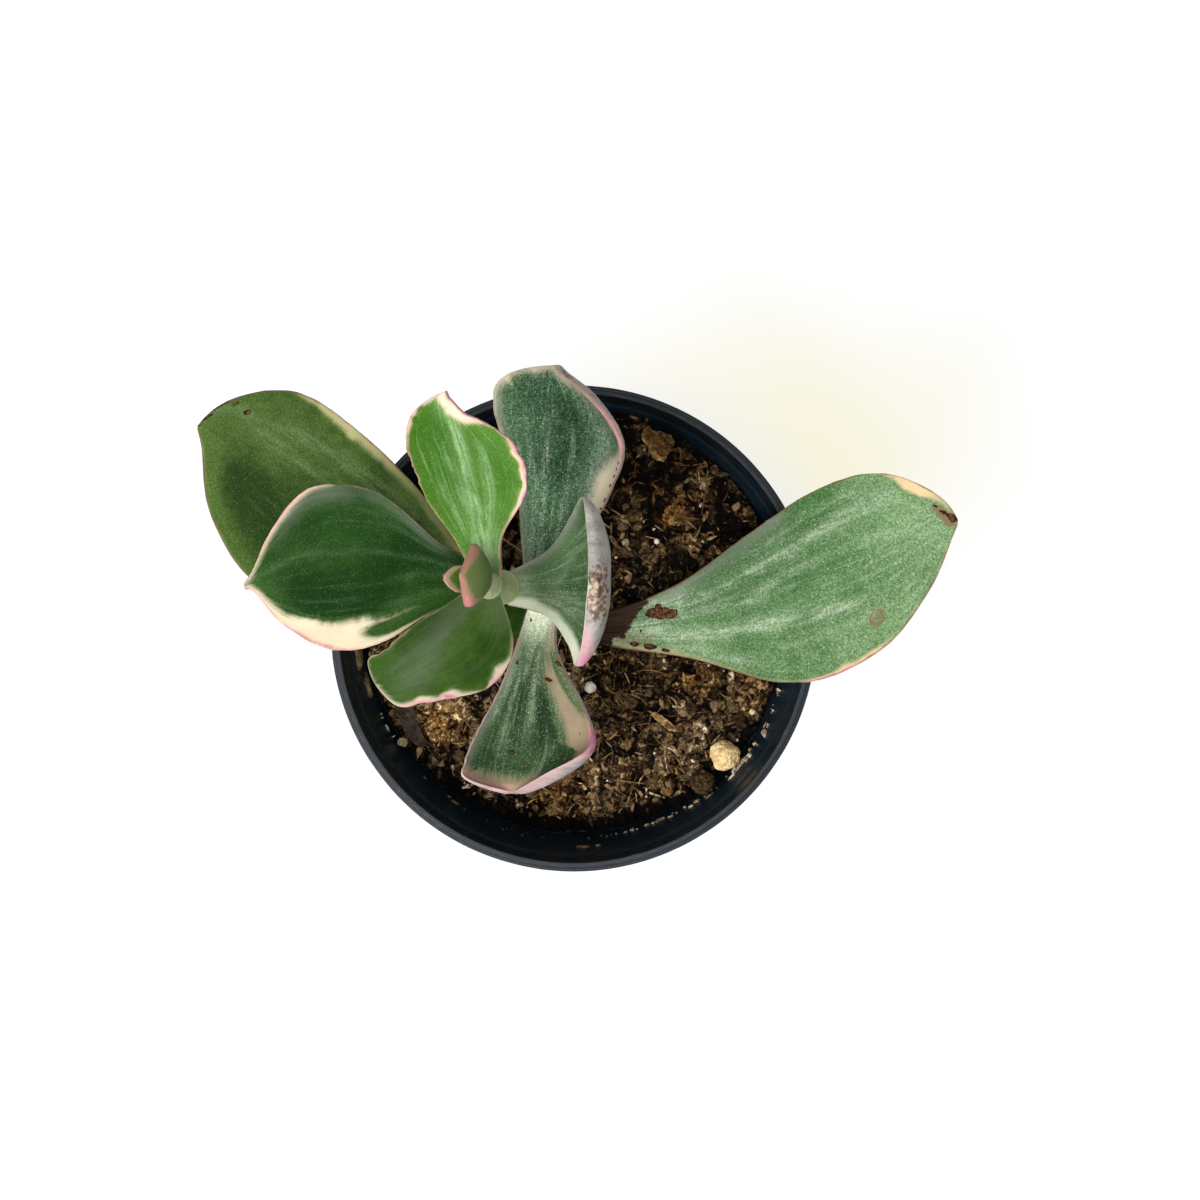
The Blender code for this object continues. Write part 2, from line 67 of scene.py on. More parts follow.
STEM_STATIONS = (
    ((3.2, 0.2, 60.0), 3.3),
    ((2.9, 0.4, 67.5), 3.5),
    ((1.6, 1.0, 74.0), 3.6),
    ((-2.6, 3.4, 81.0), 3.0),
    ((-6.0, 5.4, 88.0), 3.2),
    ((-9.2, 6.0, 96.0), 2.6),
    ((-11.1, 5.8, 105.0), 2.8),
    ((-12.0, 5.5, 112.0), 2.2),
    ((-12.4, 5.4, 118.0), 2.3),
    ((-13.0, 5.8, 124.5), 1.5),
)
UPPER_SHARE = 0.12
LOWER_FULLNESS = 0.75
TIP_THINNING = 0.35

# ---- the scene's own ----------------------------------------------------------------------------
OCHRE_PATCHES = ((17.5, 21.5, 5.5), (29.0, 16.0, 4.0), (-25.5, -18.5, 4.5), (21.0, 31.0, 3.0),
                 (24.0, -9.0, 4.5))  # x, y, radius of ochre bark in the soil
STEM_JOINTS = (2.05 / 9, 4.05 / 9, 6.0 / 9, 8.0 / 9)  # where the pairs of leaves sit on the stem
FOOT_OF_STEM = STEM_STATIONS[1][0][:2]
# crumbs in the crust: size, how tall they stand, how much their tone varies, seed
CRUST_LAYERS = ((6.2, 1.2, 0.20, 31), (2.6, 0.66, 0.20, 32), (1.1, 0.36, 0.18, 33))
# loose on it: name, count, reach, size, spread of each side, sides, tone, how each piece lies
CRUMBS = (
    ("soil_crumbs", 1500, 0.985, (0.18, 0.6), (0.45, 1.25), (1.0, 1.0, 1.0), (0.15, 0.85), {}),
    ("soil_clods", 240, 0.95, (0.8, 1.7), (0.5, 1.0), (1.0, 1.0, 1.0), (0.25, 0.7),
     dict(lift=-0.3, fine=2)),
    ("bark_flakes", 900, 0.985, (0.5, 1.7), (0.6, 1.25), (1.0, 0.36, 0.16), (0.2, 0.85),
     dict(flat=0.5, lift=0.9)),
    ("white_grit", 70, 0.985, (0.2, 0.5), (0.8, 1.1), (1.0, 1.0, 1.0), (0.93, 1.1), dict(lift=1.0)),
)
LONG_FIBRES = 36  # of the 900, the first ones
STRIP_RADIUS = 36.4  # of the middle of the papery strip
STRIP_THICKNESS = 0.22
RESIDUE_RADIUS = 41.0  # of the wall just above the soil
RESIDUE_TOP = POT_HEIGHT - 7.0
# bearing in degrees, its spread, height above the soil, count, size, tone of dried flecks on the wall
RESIDUE = (
    (-17, 0.8, 1.6, 4, 0.22, 1.0), (-22, 0.9, 1.6, 4, 0.15, 1.0), (-28, 1.2, 2.4, 6, 0.26, 1.0),
    (-36, 1.8, 2.6, 12, 0.30, 1.0), (-41, 1.5, 2.0, 9, 0.32, 0.97), (-51, 2.4, 1.6, 4, 0.14, 0.9),
    (-61, 2.2, 1.2, 7, 0.19, 1.0), (-67, 2.2, 0.8, 7, 0.20, 1.0), (-74, 2.0, 0.8, 6, 0.19, 0.95),
    (-82, 4.0, 1.0, 4, 0.12, 0.8), (18, 1.2, 0.8, 4, 0.18, 0.95), (27, 1.6, 0.8, 5, 0.15, 0.9),
    (160, 6.0, 0.8, 5, 0.14, 0.7), (206, 3.0, 0.8, 6, 0.20, 0.95), (232, 6.0, 1.5, 6, 0.12, 0.7),
    (255, 8.0, 2.5, 6, 0.09, 0.6), (90, 12.0, 0.8, 5, 0.12, 0.6),
)
# bearing, height above the soil, length, height, tone of the larger smears
SMEARS = ((186.5, 3.7, 3.6, 1.5, 0.74), (196.0, 2.8, 2.4, 0.8, 0.72), (-88.0, 7.0, 1.0, 0.3, 0.7),
          (-84.0, 6.8, 0.6, 0.25, 0.66))
FLOOR_REACH = 1500.0
CAMERA_PLACE = (4.77, -5.5, 316.5)
CAMERA_TILT = 2.49  # off the vertical
CAMERA_LENS = 39.0
# name, direction from the pot, distance and size in metres, power
LAMPS = (("window", (-0.48, -0.37, 0.80), 1.0, (0.55, 0.45), 8.8),
         ("overhead", (0.06, -0.10, 1.0), 1.2, (0.5, 0.5), 4.6))
SURROUND = 0.30  # strength of the world on the object; the camera sees it at 1

# Shape: as in the CAD source.  Markings are in the leaf's own terms: s runs from 0 at the base to 1 at
# the tip, and t from -1 at the right margin to 1 at the left one, looking from base to tip.
# green: darkest and lightest green; lime: the green beside the cream; pale: its streaks and specks.
# petiole: how far its colour reaches up the leaf, and the colour; rim: the thin line on the margin.
# speckle, dots, streaky: strength of fine specks, frost-like dots and pale fibres.  soft, ragged,
# toothed: how soft the cream's inner edge is, how it wavers, and how deep the leaf's own teeth are.
# tones, streaks, the bands of painted sheen and tongues: bands as (half-width, strength, (s, t) points);
# a tone lightens the green where its strength is positive, partly the leaf's own colour and partly
# painted light and shade; a sheen band paints in the grey reflection of the light on the wax; a tongue
# is green inside the cream.
# cream_left, cream_right: (s, width of the cream margin, how cream); flush: the pink on top of it.
# scars, dead, stains: (s, t, radius, stretch along the leaf, strength); below: the same underneath.
# rings: (s, t, radius) of stained rings.
LEAF_DEFAULTS = dict(
    roll=(0, 0, 0), under_share=0.7, rim_width=0.25, dots=0.0, rosy=(0.80, 0.42, 0.38),
    rosy_deep=(0.58, 0.14, 0.28), tones=(), tongues=(), streaks=(), painted_sheens=(), scars=(), dead=(),
    stains=(), rings=(), below=())
LEAVES = {
    "leaf_lower_left": dict(
        base=(0.9, 1.5, 75), length=75.9, thickness=3, heading=(167.5, 152.4, 143.4),
        pitch=(22, 18, 12), roll=(0, -6, -8), cup_left=(10, 14, 10), cup_right=(10, 18, 15),
        left=(2.4, 9.9, 15, 17.2, 11.5, 2.9), right=(2.4, 2.7, 11.2, 15, 14.6, 7.9),
        green=((0.012, 0.037, 0.0020), (0.062, 0.118, 0.019)), lime=(0.10, 0.16, 0.04),
        pale=(0.13, 0.19, 0.075), cream=(0.52, 0.45, 0.23), cream_deep=(0.38, 0.36, 0.15),
        under=(0.10, 0.14, 0.06), seed=1, rim=(0.17, 0.05, 0.03), rim_width=0.35,
        rim_share=0.7, petiole=(4, (0.10, 0.15, 0.06)),
        speckle=0.6, dots=0.15, streaky=0.12, soft=0.9, ragged=0.6, toothed=0.06,
        tones=((6.5, -0.5, ((1, 0.3), (0.84, 0.35), (0.65, 0.4), (0.45, 0.25), (0.1, 0.1))),
               (3, 0.45, ((0.97, 0.9), (0.85, 0.95), (0.65, 1), (0.5, 1))),
               # partly the margin's lighter green, partly painted light where leaf_left and
               # leaf_upper_back shade it
               (2.6, 0.55, ((0.55, -0.85), (0.4, -0.9), (0.2, -0.9))),
               (4, 0.55, ((1, 0.4), (0.94, 0.42), (0.88, 0.66))),
               (6, 0.35, ((1, -0.5), (0.9, -0.3), (0.8, -0.3))),
               (5, -0.25, ((0.6, -0.5), (0.4, -0.5), (0.2, -0.4))),
               (1.6, 0.22, ((0.9, 0.98), (0.6, 0.98), (0.3, 0.98)))),
        cream_right=((0.2, 0.6, 0.3), (0.3, 1.2, 0.4), (0.4, 1.4, 0.4), (0.5, 1.3, 0.45),
                     (0.6, 1.2, 0.65), (0.7, 1.5, 0.8), (0.78, 1.2, 0.75), (0.84, 0.6, 0.6),
                     (0.88, 0, 0.4)),
        cream_left=((0, 0.1, 0.1), (0.5, 0.15, 0.2), (0.8, 0.25, 0.35), (0.97, 0.2, 0.5)),
        streaks=((1.1, 0.55, ((0.98, -0.75), (0.88, -0.36), (0.78, -0.31), (0.66, -0.36))),
                 (1.8, 0.5, ((0.9, -0.4), (0.8, -0.55), (0.7, -0.6), (0.54, -0.66), (0.4, -0.6))),
                 (0.8, 0.3, ((0.7, -0.1), (0.5, -0.2), (0.35, -0.2)))),
        scars=((0.93, -0.6, 0.55, 1, 0.9), (0.96, -0.8, 0.4, 1, 0.8), (0.995, -0.6, 0.6, 1, 0.8),
               (0.985, -0.95, 0.5, 1.6, 0.8))),
    "leaf_lower_right": dict(
        base=(2.2, -0.2, 72), length=70.7, thickness=3, heading=(-2, 18.7, 24),
        pitch=(14, 20, 12), cup_left=(30, 30, 12), cup_right=(30, 26, 12),
        left=(2.2, 6.4, 11.8, 14.6, 13.1, 6.7), right=(2.2, 7, 16.5, 16, 9.7, 3.1),
        green=((0.056, 0.138, 0.040), (0.175, 0.290, 0.130)), lime=(0.12, 0.22, 0.08),
        pale=(0.36, 0.45, 0.30), cream=(0.80, 0.58, 0.33), cream_deep=(0.62, 0.48, 0.26),
        under=(0.14, 0.20, 0.09), seed=2, rim=(0.20, 0.07, 0.04), rim_width=0.3,
        rim_share=0.8, petiole=(9, (0.42, 0.48, 0.32)),
        speckle=0.8, dots=0.9, streaky=0.28, soft=0.9, ragged=0.6, toothed=0.06,
        # the first band is painted shade: the upper edge, turning away from the light, is darkened
        tones=((4.5, -1, ((0.15, 0.95), (0.3, 0.85), (0.45, 0.8), (0.6, 0.85), (0.75, 0.95))),
               (3, -0.3, ((0.3, 0.3), (0.45, 0.3), (0.6, 0.3))),
               (3, 0.35, ((0.62, -0.8), (0.75, -0.85), (0.85, -0.8))),
               (6, 0.5, ((0.85, 0.3), (0.93, 0.2), (1, 0.1))),
               (4, -0.35, ((0.35, 0.1), (0.55, 0.05), (0.75, 0.1))),
               (2, -0.2, ((0.4, -0.5), (0.5, -0.5), (0.6, -0.4)))),
        cream_left=((0.87, 0, 0.5), (0.91, 0.7, 0.8), (0.935, 1.9, 0.95), (0.96, 1.8, 0.95),
                    (0.98, 1, 0.7), (1, 0.3, 0.5)),
        cream_right=((0.2, 1, 0.4), (0.3, 0.4, 0.3), (0.5, 0.1, 0.4), (0.56, 0.4, 0.8),
                     (0.62, 0.9, 1), (0.69, 0.7, 0.9), (0.75, 0.2, 0.4), (1, 0.2, 0.4)),
        flush_right=((0.48, 0.1, 0.5), (0.56, 0.4, 1), (0.64, 0.4, 0.9), (0.7, 0, 0)),
        streaks=((1.3, 0.6, ((0.26, 0.4), (0.4, 0.45), (0.6, 0.48), (0.77, 0.56), (0.9, 0.65))),
                 (0.9, 0.4, ((0.45, 0.12), (0.6, 0.2), (0.8, 0.2), (0.92, 0.1))),
                 (0.8, 0.35, ((0.5, 0.7), (0.65, 0.78), (0.8, 0.8))),
                 (1.4, 0.8, ((0.16, -0.5), (0.28, -0.44), (0.41, -0.3), (0.56, -0.3),
                              (0.7, -0.42))),
                 (1, 0.6, ((0.2, -0.8), (0.3, -0.8), (0.42, -0.76))),
                 (0.7, 0.45, ((0.45, -0.55), (0.6, -0.58), (0.75, -0.6))),
                 (1.2, 0.5, ((0.2, 0.1), (0.35, 0.12), (0.5, 0))),
                 (1.4, 0.6, ((0.12, 0.9), (0.2, 0.8), (0.3, 0.78))),
                 (3.4, 0.9, ((0.05, -0.5), (0.13, -0.3), (0.22, -0.25))),
                 (2.4, 0.8, ((0.18, 0.6), (0.24, 0.5), (0.3, 0.5)))),
        painted_sheens=((1.8, 0.75, ((0.2, 0.92), (0.4, 0.92), (0.62, 0.93))),),
        dead=((0, 0.4, 5, 1.5, 1), (0.07, 0.45, 3.6, 1.2, 1), (0.10, 0.75, 3, 1.2, 1),
              (0.14, 0.98, 1.8, 1.6, 1), (0.03, -0.5, 2.2, 1.6, 0.9)),
        scars=((0.190, 0.42, 0.95, 1.5, 1), (0.214, 0.34, 1.1, 1.5, 1), (0.240, 0.24, 0.9, 1.2, 1),
               (0.205, 0.62, 0.5, 1.6, 0.8), (0.1, -0.45, 0.5, 1.6, 0.8),
               (0.13, -0.78, 0.5, 1.8, 0.9), (0.17, -0.82, 0.6, 1.9, 1), (0.21, -0.9, 0.4, 2, 0.9),
               (0.15, -0.2, 0.3, 1, 0.8), (0.992, 0.1, 0.7, 1.3, 0.8), (0.975, 0.34, 0.5, 1.2, 0.66),
               (0.985, 0.2, 0.55, 1, 0.7), (0.965, 0.5, 0.3, 1.2, 0.7), (0.67, 0.02, 0.22, 1, 1),
               (0.65, -0.86, 0.35, 1, 0.6)),
        stains=((0.968, 0.42, 1.1, 1, 0.8), (0.982, 0.1, 1.3, 1, 0.85), (0.974, 0.27, 1.2, 1, 0.85),
                (0.13, -0.6, 1.6, 2.6, 0.4), (0.73, -0.67, 1, 1, 0.5)),
        rings=((0.73, -0.67, 1.2),)),
    "leaf_back": dict(
        base=(-5.8, 5.4, 88.5), length=40, thickness=3.2, heading=(83, 86, 91.5),
        pitch=(26, 18, 8), cup_left=(14, 24, 20), cup_right=(14, 60, 140),
        left=(2.4, 4.1, 5.5, 8.5, 9.9, 7.3), right=(2.4, 6.5, 11.7, 15.6, 10.6, 2.8),
        green=((0.012, 0.048, 0.017), (0.066, 0.138, 0.064)), lime=(0.20, 0.24, 0.18),
        pale=(0.32, 0.43, 0.31), cream=(0.74, 0.66, 0.48), cream_deep=(0.64, 0.52, 0.36),
        under=(0.27, 0.245, 0.24), under_share=0.85, seed=3, rim=(0.40, 0.16, 0.13),
        rim_share=0.3, petiole=(7, (0.48, 0.58, 0.42)),
        speckle=1.15, dots=0.3, streaky=0.25, soft=1.9, ragged=0.8, toothed=0.12,
        tones=((2.5, -0.3, ((0.85, -0.2), (0.73, -0.2), (0.62, -0.25), (0.45, -0.2))),
               # painted light: the right half, curled up into its own shade, is lightened
               (2.5, 0.7, ((0.5, -0.62), (0.62, -0.66), (0.75, -0.62), (0.9, -0.55))),
               (2.5, 0.6, ((0.2, 0.8), (0.5, 0.85), (0.8, 0.88), (0.95, 0.9))),
               (2, 0.5, ((0.3, -0.1), (0.4, -0.15), (0.5, -0.2)))),
        cream_right=((0.2, 0.6, 0.5), (0.3, 1.5, 0.7), (0.43, 2.9, 0.95), (0.54, 3.2, 1),
                     (0.61, 2.4, 0.9), (0.66, 1, 0.6), (0.73, 0.7, 0.5), (0.79, 2.2, 0.9),
                     (0.84, 1.9, 0.8), (0.93, 1.5, 0.8), (0.97, 1, 0.8), (1, 0.6, 0.7)),
        cream_left=((0, 0.3, 0.4), (0.3, 0.2, 0.4), (0.8, 0.2, 0.5), (0.93, 0.5, 0.8),
                    (0.95, 0.7, 0.9), (0.96, 1.5, 0.95), (0.97, 0.6, 0.8), (0.99, 0.3, 0.7),
                    (0.996, 1.2, 0.9), (1, 0.8, 0.8)),
        flush_right=((0.4, 0.25, 0.44), (0.6, 0.37, 0.56), (0.7, 0.62, 0.68), (0.78, 0.93, 0.76),
                     (0.86, 0.5, 0.56), (1, 0.19, 0.4)),
        streaks=((0.7, 0.4, ((0.3, 0.2), (0.6, 0.1), (0.8, 0.1))),
                 (0.6, 0.35, ((0.2, -0.3), (0.5, -0.28), (0.75, -0.25))),
                 (0.6, 0.35, ((0.2, 0.5), (0.5, 0.45), (0.7, 0.45))),
                 (2.6, 0.5, ((0.48, -0.66), (0.6, -0.7), (0.75, -0.66), (0.85, -0.6))),
                 (1.8, 0.7, ((0, 0.5), (0.15, 0.5), (0.26, 0.4)))),
        painted_sheens=((1.1, 0.6, ((0.1, 0.95), (0.4, 0.92), (0.7, 0.92), (0.93, 0.93))),
                (2.5, 0.45, ((0.55, -0.75), (0.68, -0.85), (0.75, -0.85)))),
        scars=((0.27, 0.8, 0.26, 1, 1), (0.27, 0.26, 0.26, 1, 0.9), (0.63, -0.985, 0.24, 1.4, 0.9),
               (0.60, -0.98, 0.2, 1.3, 0.9), (0.57, -0.985, 0.26, 1.2, 0.9),
               (0.53, -0.985, 0.22, 1.6, 0.9), (0.50, -0.96, 0.18, 1, 0.9),
               (0.47, -0.985, 0.26, 1.5, 0.9), (0.43, -0.985, 0.2, 1.5, 0.8)),
        below=((0.95, -0.95, 0.25, 4, 0.7),)),
    "leaf_front": dict(
        base=(-4.8, 5, 87.5), length=34.7, thickness=3.2, heading=(-103, -100, -91.5),
        pitch=(10, 0, 24), cup_left=(15, 60, 136), cup_right=(15, 30, 60),
        left=(2.4, 4.1, 11.5, 17.2, 16.4, 9.4), right=(2.4, 3, 4.4, 7.1, 9.1, 8.8),
        green=((0.011, 0.029, 0.009), (0.050, 0.092, 0.036)), lime=(0.12, 0.16, 0.08),
        pale=(0.36, 0.48, 0.30), cream=(0.36, 0.275, 0.18), cream_deep=(0.29, 0.215, 0.14),
        under=(0.62, 0.56, 0.60), under_share=0.85, seed=4, rim=(0.48, 0.22, 0.18),
        rim_share=0.35, petiole=(10, (1, 1, 0.80)),
        speckle=0.8, dots=0.15, streaky=0.25, soft=1.9, ragged=0.7, toothed=0.16,
        tones=((3.4, 0.45, ((0, 0), (0.2, 0), (0.34, -0.1))),
               (2.2, -0.5, ((0.3, 0.3), (0.5, 0.28), (0.72, 0.3))),
               (1.4, 0.5, ((0.3, -0.95), (0.6, -0.95), (0.85, -0.95)))),
        cream_left=((0.1, 0.6, 0.5), (0.21, 1.6, 0.6), (0.30, 2.9, 0.7), (0.41, 4.2, 0.8),
                    (0.52, 5.5, 0.95), (0.63, 7, 1), (0.70, 7.9, 1), (0.77, 8, 1), (0.84, 6.6, 1),
                    (0.9, 4.2, 1), (0.94, 2.7, 1), (0.97, 2, 1), (1, 2, 1)),
        cream_right=((0, 0.3, 0.3), (0.5, 0.1, 0.3), (0.88, 0.3, 0.5), (0.92, 1.7, 1),
                     (0.95, 1.2, 1), (0.975, 2.3, 1), (1, 2, 1)),
        flush_left=((0.55, 0.1, 0.5), (0.62, 0.4, 0.8), (0.68, 1.7, 1.05), (0.77, 2.1, 1.05),
                    (0.83, 0.9, 0.8), (0.9, 0.5, 0.55), (1, 1.2, 0.45)),
        flush_right=((0.9, 0.2, 0.3), (0.93, 1, 0.6), (0.96, 1.1, 0.45), (1, 1.3, 0.5)),
        tongues=((1.8, 1, ((0.26, 1), (0.34, 0.94), (0.44, 0.88), (0.54, 0.94))),),
        streaks=((4.2, 1, ((0, 0), (0.1, 0), (0.22, 0))),
                 (1, 0.5, ((0.15, -0.2), (0.3, -0.1), (0.42, -0.1))),
                 (0.6, 0.5, ((0.3, -0.75), (0.5, -0.8), (0.65, -0.8))),
                 (0.7, 0.35, ((0.3, -0.45), (0.6, -0.4), (0.8, -0.3))),
                 (0.7, 0.35, ((0.25, 0.25), (0.4, 0.15), (0.7, 0.1)))),
        painted_sheens=((0.9, 0.8, ((0.2, -0.96), (0.5, -0.96), (0.9, -0.95))),
                (1.7, 0.9, ((0.94, -0.95), (0.98, -0.5), (0.985, 0.2), (0.96, 0.9)))),
        scars=((0.41, 0.45, 0.8, 0.6, 1), (0.8, -0.09, 0.6, 0.6, 1), (0.32, 0.93, 0.6, 0.9, 1),
               (0.35, -0.7, 0.38, 1, 0.9), (0.18, -0.8, 0.28, 1, 0.9), (0.14, -0.6, 0.28, 1, 0.9),
               (0.66, 0.72, 0.3, 1, 0.8)),
        stains=((0.41, 0.45, 1.3, 0.8, 0.4),)),
    "leaf_left": dict(
        base=(-11, 6, 104.6), length=41.5, thickness=2.8, heading=(154.7, 185.9, 185.5),
        pitch=(22, 16, 8), roll=(0, -6, -8), cup_left=(14, 26, 24), cup_right=(14, 22, 18),
        left=(2.3, 6.5, 11.5, 12, 7.3, 1.1), right=(2.3, 3.8, 12.4, 13.9, 8.5, 2.1),
        green=((0.006, 0.034, 0.003), (0.028, 0.085, 0.012)), lime=(0.036, 0.100, 0.018),
        pale=(0.080, 0.14, 0.060), cream=(0.92, 0.82, 0.58), cream_deep=(0.90, 0.72, 0.50),
        under=(0.10, 0.16, 0.07), seed=5, rim=(0.50, 0.24, 0.20),
        rim_share=0.4, petiole=(5, (0.05, 0.11, 0.03)),
        speckle=0.6, streaky=0.25, soft=1.1, ragged=0.7, toothed=0.10,
        tones=((4.5, -0.5, ((0.85, 0.3), (0.6, 0.3), (0.4, -0.3), (0.15, -0.4))),
               (2.4, 0.5, ((0.97, 0), (0.9, 0.3), (0.84, 0.55))),
               (1.6, 0.35, ((0.42, 0.7), (0.3, 0.7), (0.1, 0.6)))),
        cream_left=((0.1, 0.2, 0.3), (0.2, 0.6, 0.45), (0.29, 1.3, 0.6), (0.41, 2.8, 0.9),
                    (0.53, 4.2, 1), (0.65, 4.6, 1), (0.81, 3.1, 1), (0.88, 1.9, 1), (0.93, 0.7, 1),
                    (1, 0.3, 0.8)),
        cream_right=((0, 0.1, 0.15), (0.4, 0.1, 0.2), (0.62, 0.15, 0.3), (0.74, 0.45, 0.8),
                     (0.88, 0.4, 0.9), (1, 0.3, 0.7)),
        flush_left=((0.3, 0.2, 0.5), (0.6, 0.3, 0.6), (0.72, 0.6, 0.85), (0.84, 0.5, 0.8),
                    (0.95, 0.3, 0.7)),
        flush_right=((0.4, 0, 0), (0.56, 0.15, 0.5), (0.76, 0.4, 0.75), (0.86, 0.4, 0.75),
                     (0.95, 0.2, 0.5)),
        tongues=((1.1, 1, ((0.58, 0.82), (0.41, 0.84), (0.29, 0.9), (0.18, 0.9))),),
        streaks=((0.5, 0.45, ((0.95, -0.28), (0.78, -0.3), (0.64, -0.22), (0.5, -0.22),
                              (0.31, -0.23), (0.1, -0.2))),
                 (0.8, 0.45, ((0.5, 0.5), (0.3, 0.55), (0.12, 0.6))),
                 (0.8, 0.4, ((0.45, 0.15), (0.3, 0.12), (0.1, 0.1)))),
        painted_sheens=((1.9, 0.62, ((0.84, -0.88), (0.72, -0.95), (0.57, -0.95))),
                (1.3, 0.45, ((0.57, -0.97), (0.43, -0.96), (0.26, -0.92))))),
    "leaf_right_cupped": dict(
        base=(-11, 5.6, 104.6), length=28.9, thickness=2.6, heading=(-3, -3, -3),
        pitch=(6, 50, 123), cup_left=(20, 34, 30), cup_right=(20, 34, 30),
        left=(2.4, 6.3, 12.2, 14.8, 12.4, 4.4), right=(2.4, 4, 9, 12.6, 10, 4.4),
        green=((0.022, 0.056, 0.016), (0.078, 0.148, 0.060)), lime=(0.10, 0.17, 0.07),
        pale=(0.50, 0.60, 0.42), cream=(0.76, 0.79, 0.62), cream_deep=(0.64, 0.69, 0.52),
        under=(0.46, 0.42, 0.40), under_share=0.9, seed=6, rim=(0.30, 0.20, 0.17),
        rim_share=0.3, rosy=(0.76, 0.36, 0.42), rosy_deep=(0.62, 0.19, 0.34),
        petiole=(5, (0.34, 0.38, 0.20)),
        speckle=0.6, streaky=0.3, soft=1.2, ragged=0.5, toothed=0.12,
        tones=((3, 0.5, ((0, 0), (0.2, 0.2), (0.35, 0.5), (0.5, 0.7))),
               (3, -0.35, ((0.45, -0.2), (0.6, 0), (0.75, 0.3)))),
        cream_right=((0, 1.2, 0.9), (0.12, 1.6, 0.9), (0.25, 1.4, 0.9), (0.4, 1.5, 1), (0.6, 1.7, 1),
                     (0.75, 2.6, 1), (0.88, 2.4, 1), (1, 0.8, 1)),
        cream_left=((0, 0.2, 0.4), (0.5, 0.2, 0.4), (1, 0.3, 0.6)),
        flush_right=((0.66, 0.1, 0.5), (0.72, 1.4, 0.7), (0.82, 2.4, 0.85), (0.9, 1, 0.7),
                     (0.97, 0.1, 0.4)),
        streaks=((3, 0.9, ((0, 0), (0.08, 0), (0.16, 0))),
                 (0.9, 0.4, ((0.1, -0.3), (0.3, -0.4), (0.5, -0.5))),
                 (2.4, 0.32, ((0.3, -0.3), (0.45, -0.35), (0.6, -0.2)))),
        painted_sheens=((1.3, 0.9, ((0.05, 0.9), (0.2, 0.94), (0.4, 0.95), (0.6, 0.95))),
                (0.9, 0.7, ((0.28, 0.1), (0.36, 0.2), (0.42, 0.5)))),
        below=((0.985, 0.5, 1.3, 1.5, 0.6), (0.985, 0.22, 1.9, 1.5, 0.8),
               (0.985, -0.1, 2.3, 1.4, 0.9), (0.98, -0.4, 2.3, 1.5, 0.9),
               (0.94, -0.3, 1.8, 1.3, 0.6), (0.94, 0.1, 1.4, 1.3, 0.5))),
    "leaf_upper_back": dict(
        base=(-12.3, 5.4, 117.4), length=31, thickness=2.6, heading=(89.2, 101.6, 112.5),
        pitch=(36, 24, 14), cup_left=(15, 24, 24), cup_right=(15, 24, 24),
        left=(2, 4.2, 7.1, 7.8, 7.5, 5), right=(2, 2.7, 8, 6.9, 2.1, 0.4),
        green=((0.042, 0.142, 0.009), (0.092, 0.210, 0.025)), lime=(0.14, 0.29, 0.045),
        pale=(0.33, 0.52, 0.25), cream=(0.88, 0.74, 0.56), cream_deep=(0.80, 0.58, 0.44),
        under=(0.12, 0.22, 0.07), seed=7, rim=(0.55, 0.30, 0.22), rim_width=0.22,
        rim_share=0.55, petiole=(5, (0.17, 0.26, 0.09)),
        speckle=0.3, streaky=0.3, soft=0.8, ragged=0.95, toothed=0.30,
        tones=((2.4, -0.4, ((0.9, 0.3), (0.7, 0.35), (0.5, 0.3))),
               (2, -0.35, ((0.75, -0.35), (0.6, -0.55), (0.48, -0.5)))),
        cream_right=((0.3, 0, 0.6), (0.38, 0.3, 0.9), (0.44, 0.9, 1), (0.52, 0.9, 1), (0.58, 0.6, 1),
                     (0.64, 0.9, 1), (0.68, 0.3, 0.9), (0.74, 0.05, 0.6), (0.80, 0.1, 0.7),
                     (0.86, 1.1, 1), (0.93, 1.8, 1), (1, 1.3, 1)),
        cream_left=((0, 0.1, 0.3), (0.6, 0.1, 0.4), (0.88, 0.15, 0.8), (0.93, 0.5, 1),
                    (0.95, 0.1, 1), (0.965, 0.6, 1), (0.98, 0.15, 1), (0.99, 0.6, 1), (1, 0.4, 1)),
        flush_right=((0.36, 0.3, 0.7), (0.45, 0.6, 1), (0.6, 0.6, 1), (0.75, 0.3, 0.8),
                     (0.9, 0.38, 0.8), (1, 0.45, 0.8)),
        flush_left=((0.72, 0.05, 0.5), (0.82, 0.35, 0.55), (0.93, 0.4, 0.6), (1, 0.4, 0.8)),
        streaks=((1.5, 0.9, ((1, 0.1), (0.93, 0.05), (0.88, 0.04))),
                 (0.85, 0.9, ((1, 0.1), (0.9, 0.05), (0.82, 0.04), (0.68, 0.07), (0.52, 0.08),
                              (0.37, 0.06), (0.26, 0.08))),
                 (0.8, 0.7, ((0.7, -0.34), (0.6, -0.3), (0.51, -0.25), (0.36, -0.23),
                              (0.25, -0.2))),
                 (0.5, 0.55, ((0.75, 0.32), (0.5, 0.3), (0.3, 0.3))),
                 (0.5, 0.55, ((0.6, 0.6), (0.45, 0.58), (0.25, 0.55))),
                 (2.6, 0.7, ((0.34, 0), (0.2, 0), (0.1, 0)))),
        painted_sheens=((2, 0.55, ((0, 0), (0.1, 0), (0.22, 0))),)),
    "leaf_upper_front": dict(
        base=(-12.5, 5.2, 117.4), length=23.9, thickness=2.6, heading=(-120.4, -136.7, -147.9),
        pitch=(38, 26, 14), cup_left=(10, 14, 14), cup_right=(10, 18, 20),
        left=(2, 9, 10.4, 7.9, 5.8, 4.5), right=(2, 2.8, 3.8, 3.8, 3.4, 3.4),
        green=((0.022, 0.062, 0.006), (0.066, 0.140, 0.020)), lime=(0.075, 0.160, 0.030),
